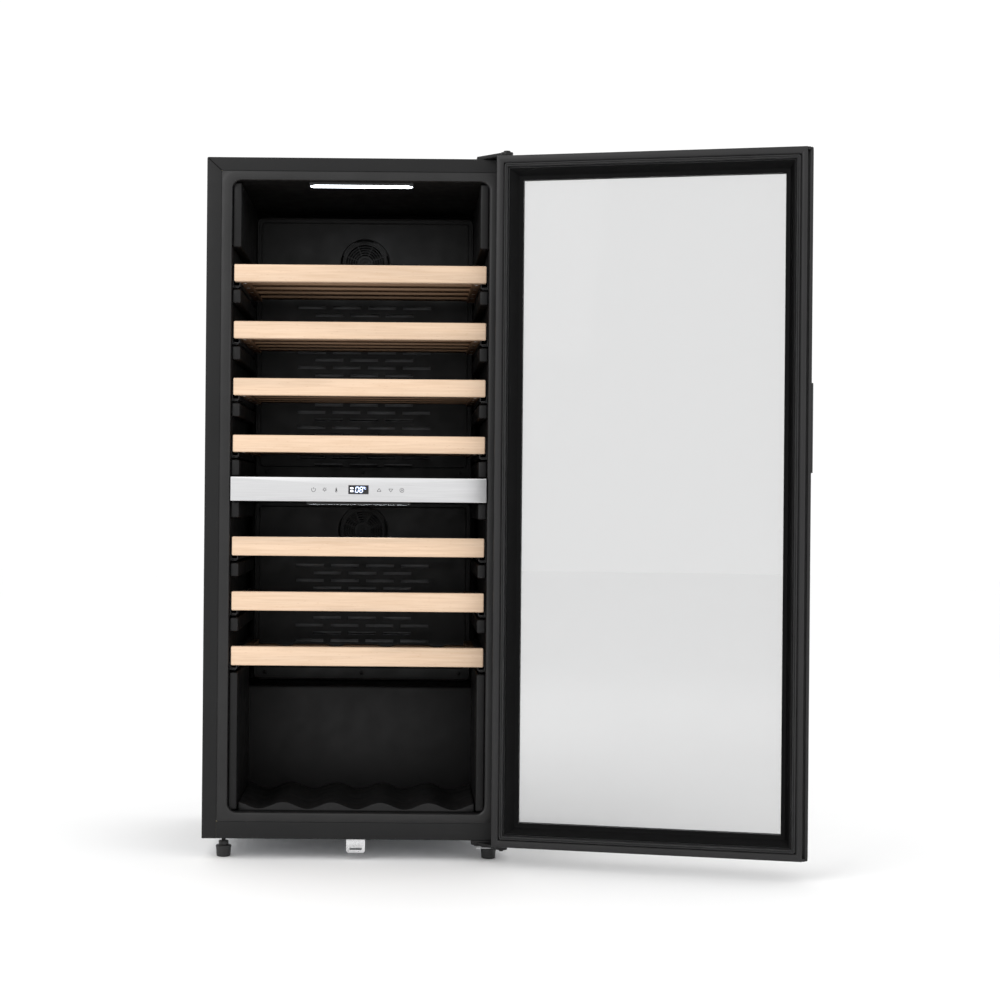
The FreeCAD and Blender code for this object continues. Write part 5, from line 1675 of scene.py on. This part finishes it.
@dataclass
class MachineRoom(SubAssembly):
    """Compressor and what is round it, behind the slotted rear cover."""

    def build(self) -> None:
        """Softened castings and pressings, and the cover with its inlet."""
        self.dress("compressor_base", GALVANISED)
        self.soft_node("compressor", 1.2 * MM, LACQUER, "compressor_black")
        self.soft_node("compressor_mounts", 1.5 * MM, SEAL_RUBBER, "seal_rubber")
        self.dress("start_box", BLACK_PLASTIC)
        self.dress("filter_dryer", COPPER)
        self.dress("refrigerant_pipes", COPPER)
        self.soft_node("drip_tray", 0.5 * MM, BLACK_PLASTIC, "black_plastic")
        self.soft_node("rear_grille", 0.25 * MM, BACK_PAINT, "back_sheet")
        self.soft_node("mains_inlet", 0.4 * MM, BLACK_PLASTIC, "black_plastic")
        self.soft_node("rear_screws", 0.5 * MM, ZINC, "zinc")


@dataclass
class Condenser(SubAssembly):
    """Wire-on-tube condenser on the back panel."""

    def build(self) -> None:
        """Lacquered tube and wires on plastic clips."""
        self.dress("condenser_coil", LACQUER)
        self.dress("condenser_wires", LACQUER)
        self.soft_node("condenser_clips", 1.0 * MM, BLACK_PLASTIC, "black_plastic")


# ---------------------------------------------------------------- studio


@dataclass
class Studio:
    """Pale floor, soft lights and the camera.

    Attributes:
        eye: camera place from the cabinet's middle, front plane and floor.
        lens: focal length in millimetres.
        shift: sideways shift of the lens.
        roll: camera roll in degrees.
        sensor: width of the sensor in millimetres.
        aim: what the lights point at, from the same place as eye.
        surround: strength of the white surround.
    """

    eye: Offset = (0.082, -3.4, 0.65)
    lens: float = 68.0
    shift: float = 0.096
    roll: float = -0.5
    sensor: float = 36.0
    aim: Offset = (0.15, 0.0, 0.65)
    surround: float = 1.05

    def build(self) -> None:
        """Sets the stage."""
        self.floor()
        self.light("key", (-1.9, -2.6, 2.6), 2.2, 45.0)
        self.light("fill", (2.4, -2.8, 1.2), 2.0, 12.0)
        self.light("back", (0.6, 2.6, 2.4), 2.4, 5.0)
        self.world()
        self.camera()

    def floor(self) -> None:
        """Wide pale disc under the cooler."""
        bm = lathe([(14.0, -0.02), (14.0, -0.0005)], Vector((0, 0, 0)), 96)
        mesh = bpy.data.meshes.new("floor")
        bm.to_mesh(mesh)
        bm.free()
        obj = bpy.data.objects.new("floor", mesh)
        bpy.context.scene.collection.objects.link(obj)
        tree = Tree("pale_floor")
        tree.set(Roughness=0.85, Specular_IOR_Level=0.1)
        pale = [(place, (grey, grey, grey)) for place, grey in ((0.3, 0.95), (0.7, 0.965))]
        tree.wire(Base_Color=tree.tones(tree.noise(3.0, 3.0), pale))
        mesh.materials.append(tree.material)

    @staticmethod
    def place(offset: Offset) -> Vector:
        """Point at an offset from the cabinet's middle, front plane and floor."""
        return Vector((MIDDLE_X + offset[0], FRONT_Y + offset[1], offset[2]))

    def light(self, name: str, offset: Offset, size: float, power: float) -> None:
        """Square soft light aimed at the cooler's middle.

        Args:
            name: the light's name.
            offset: its place from the cabinet's middle, front plane and floor.
            size: edge length.
            power: watts.
        """
        data = bpy.data.lights.new(name, "AREA")
        data.shape = "SQUARE"
        data.size = size
        data.energy = power
        obj = bpy.data.objects.new(name, data)
        bpy.context.scene.collection.objects.link(obj)
        obj.location = self.place(offset)
        aim = self.place(self.aim) - obj.location
        obj.rotation_euler = aim.to_track_quat("-Z", "Y").to_euler()

    def world(self) -> None:
        """Plain white surround that also lights the object."""
        world = bpy.data.worlds.new("studio")
        bpy.context.scene.world = world
        world.use_nodes = True
        nodes = world.node_tree.nodes
        nodes.clear()
        shade = nodes.new("ShaderNodeBackground")
        shade.inputs[0].default_value = (1.0, 1.0, 1.0, 1.0)
        shade.inputs[1].default_value = self.surround
        output = nodes.new("ShaderNodeOutputWorld")
        world.node_tree.links.new(shade.outputs[0], output.inputs[0])

    def camera(self) -> None:
        """Level camera in front of the cooler, with the lens shifted to frame the open door."""
        data = bpy.data.cameras.new("camera")
        data.lens = self.lens
        data.sensor_width = self.sensor
        data.shift_x = self.shift
        obj = bpy.data.objects.new("camera", data)
        bpy.context.scene.collection.objects.link(obj)
        tilt = Matrix.Rotation(math.radians(self.roll), 4, "Y") @ Matrix.Rotation(math.pi / 2, 4, "X")
        obj.matrix_world = Matrix.Translation(self.place(self.eye)) @ tilt
        scene = bpy.context.scene
        scene.camera = obj
        scene.view_settings.view_transform = "Standard"


def main() -> None:
    """Builds every sub-assembly in order and the studio round them."""
    logging.basicConfig(level=logging.INFO, format="%(message)s")
    parts: list[SubAssembly] = [CabinetShell(), Liner(), ZoneDivider(), ControlPanel(), StripLights(),
                                AirDucts()]
    parts += [FanRotor(zone + "_fan", node=zone + "_fan_rotor") for zone in ("upper", "lower")]
    shelves = sorted(node for node in frame["nodes"] if node.startswith("shelf_") and node[6:].isdigit())
    parts += [SlideRails(), BottleCradle()]
    parts += [Shelf(node + "_body", node=node) for node in shelves]
    parts += [GlassDoor(), Hinges(), LockStrike()]
    feet = sorted(node for node in frame["nodes"] if node.startswith("foot_") and node != "foot_sockets")
    parts += [LevellingFoot(node + "_body", node=node) for node in feet]
    parts += [MachineRoom(), Condenser()]
    for part in parts:
        part.build()
        LOG.info("%s on %s: %s", type(part).__name__, part.body, ", ".join(part.made))
    Studio().build()


if __name__ == "__main__":
    main()
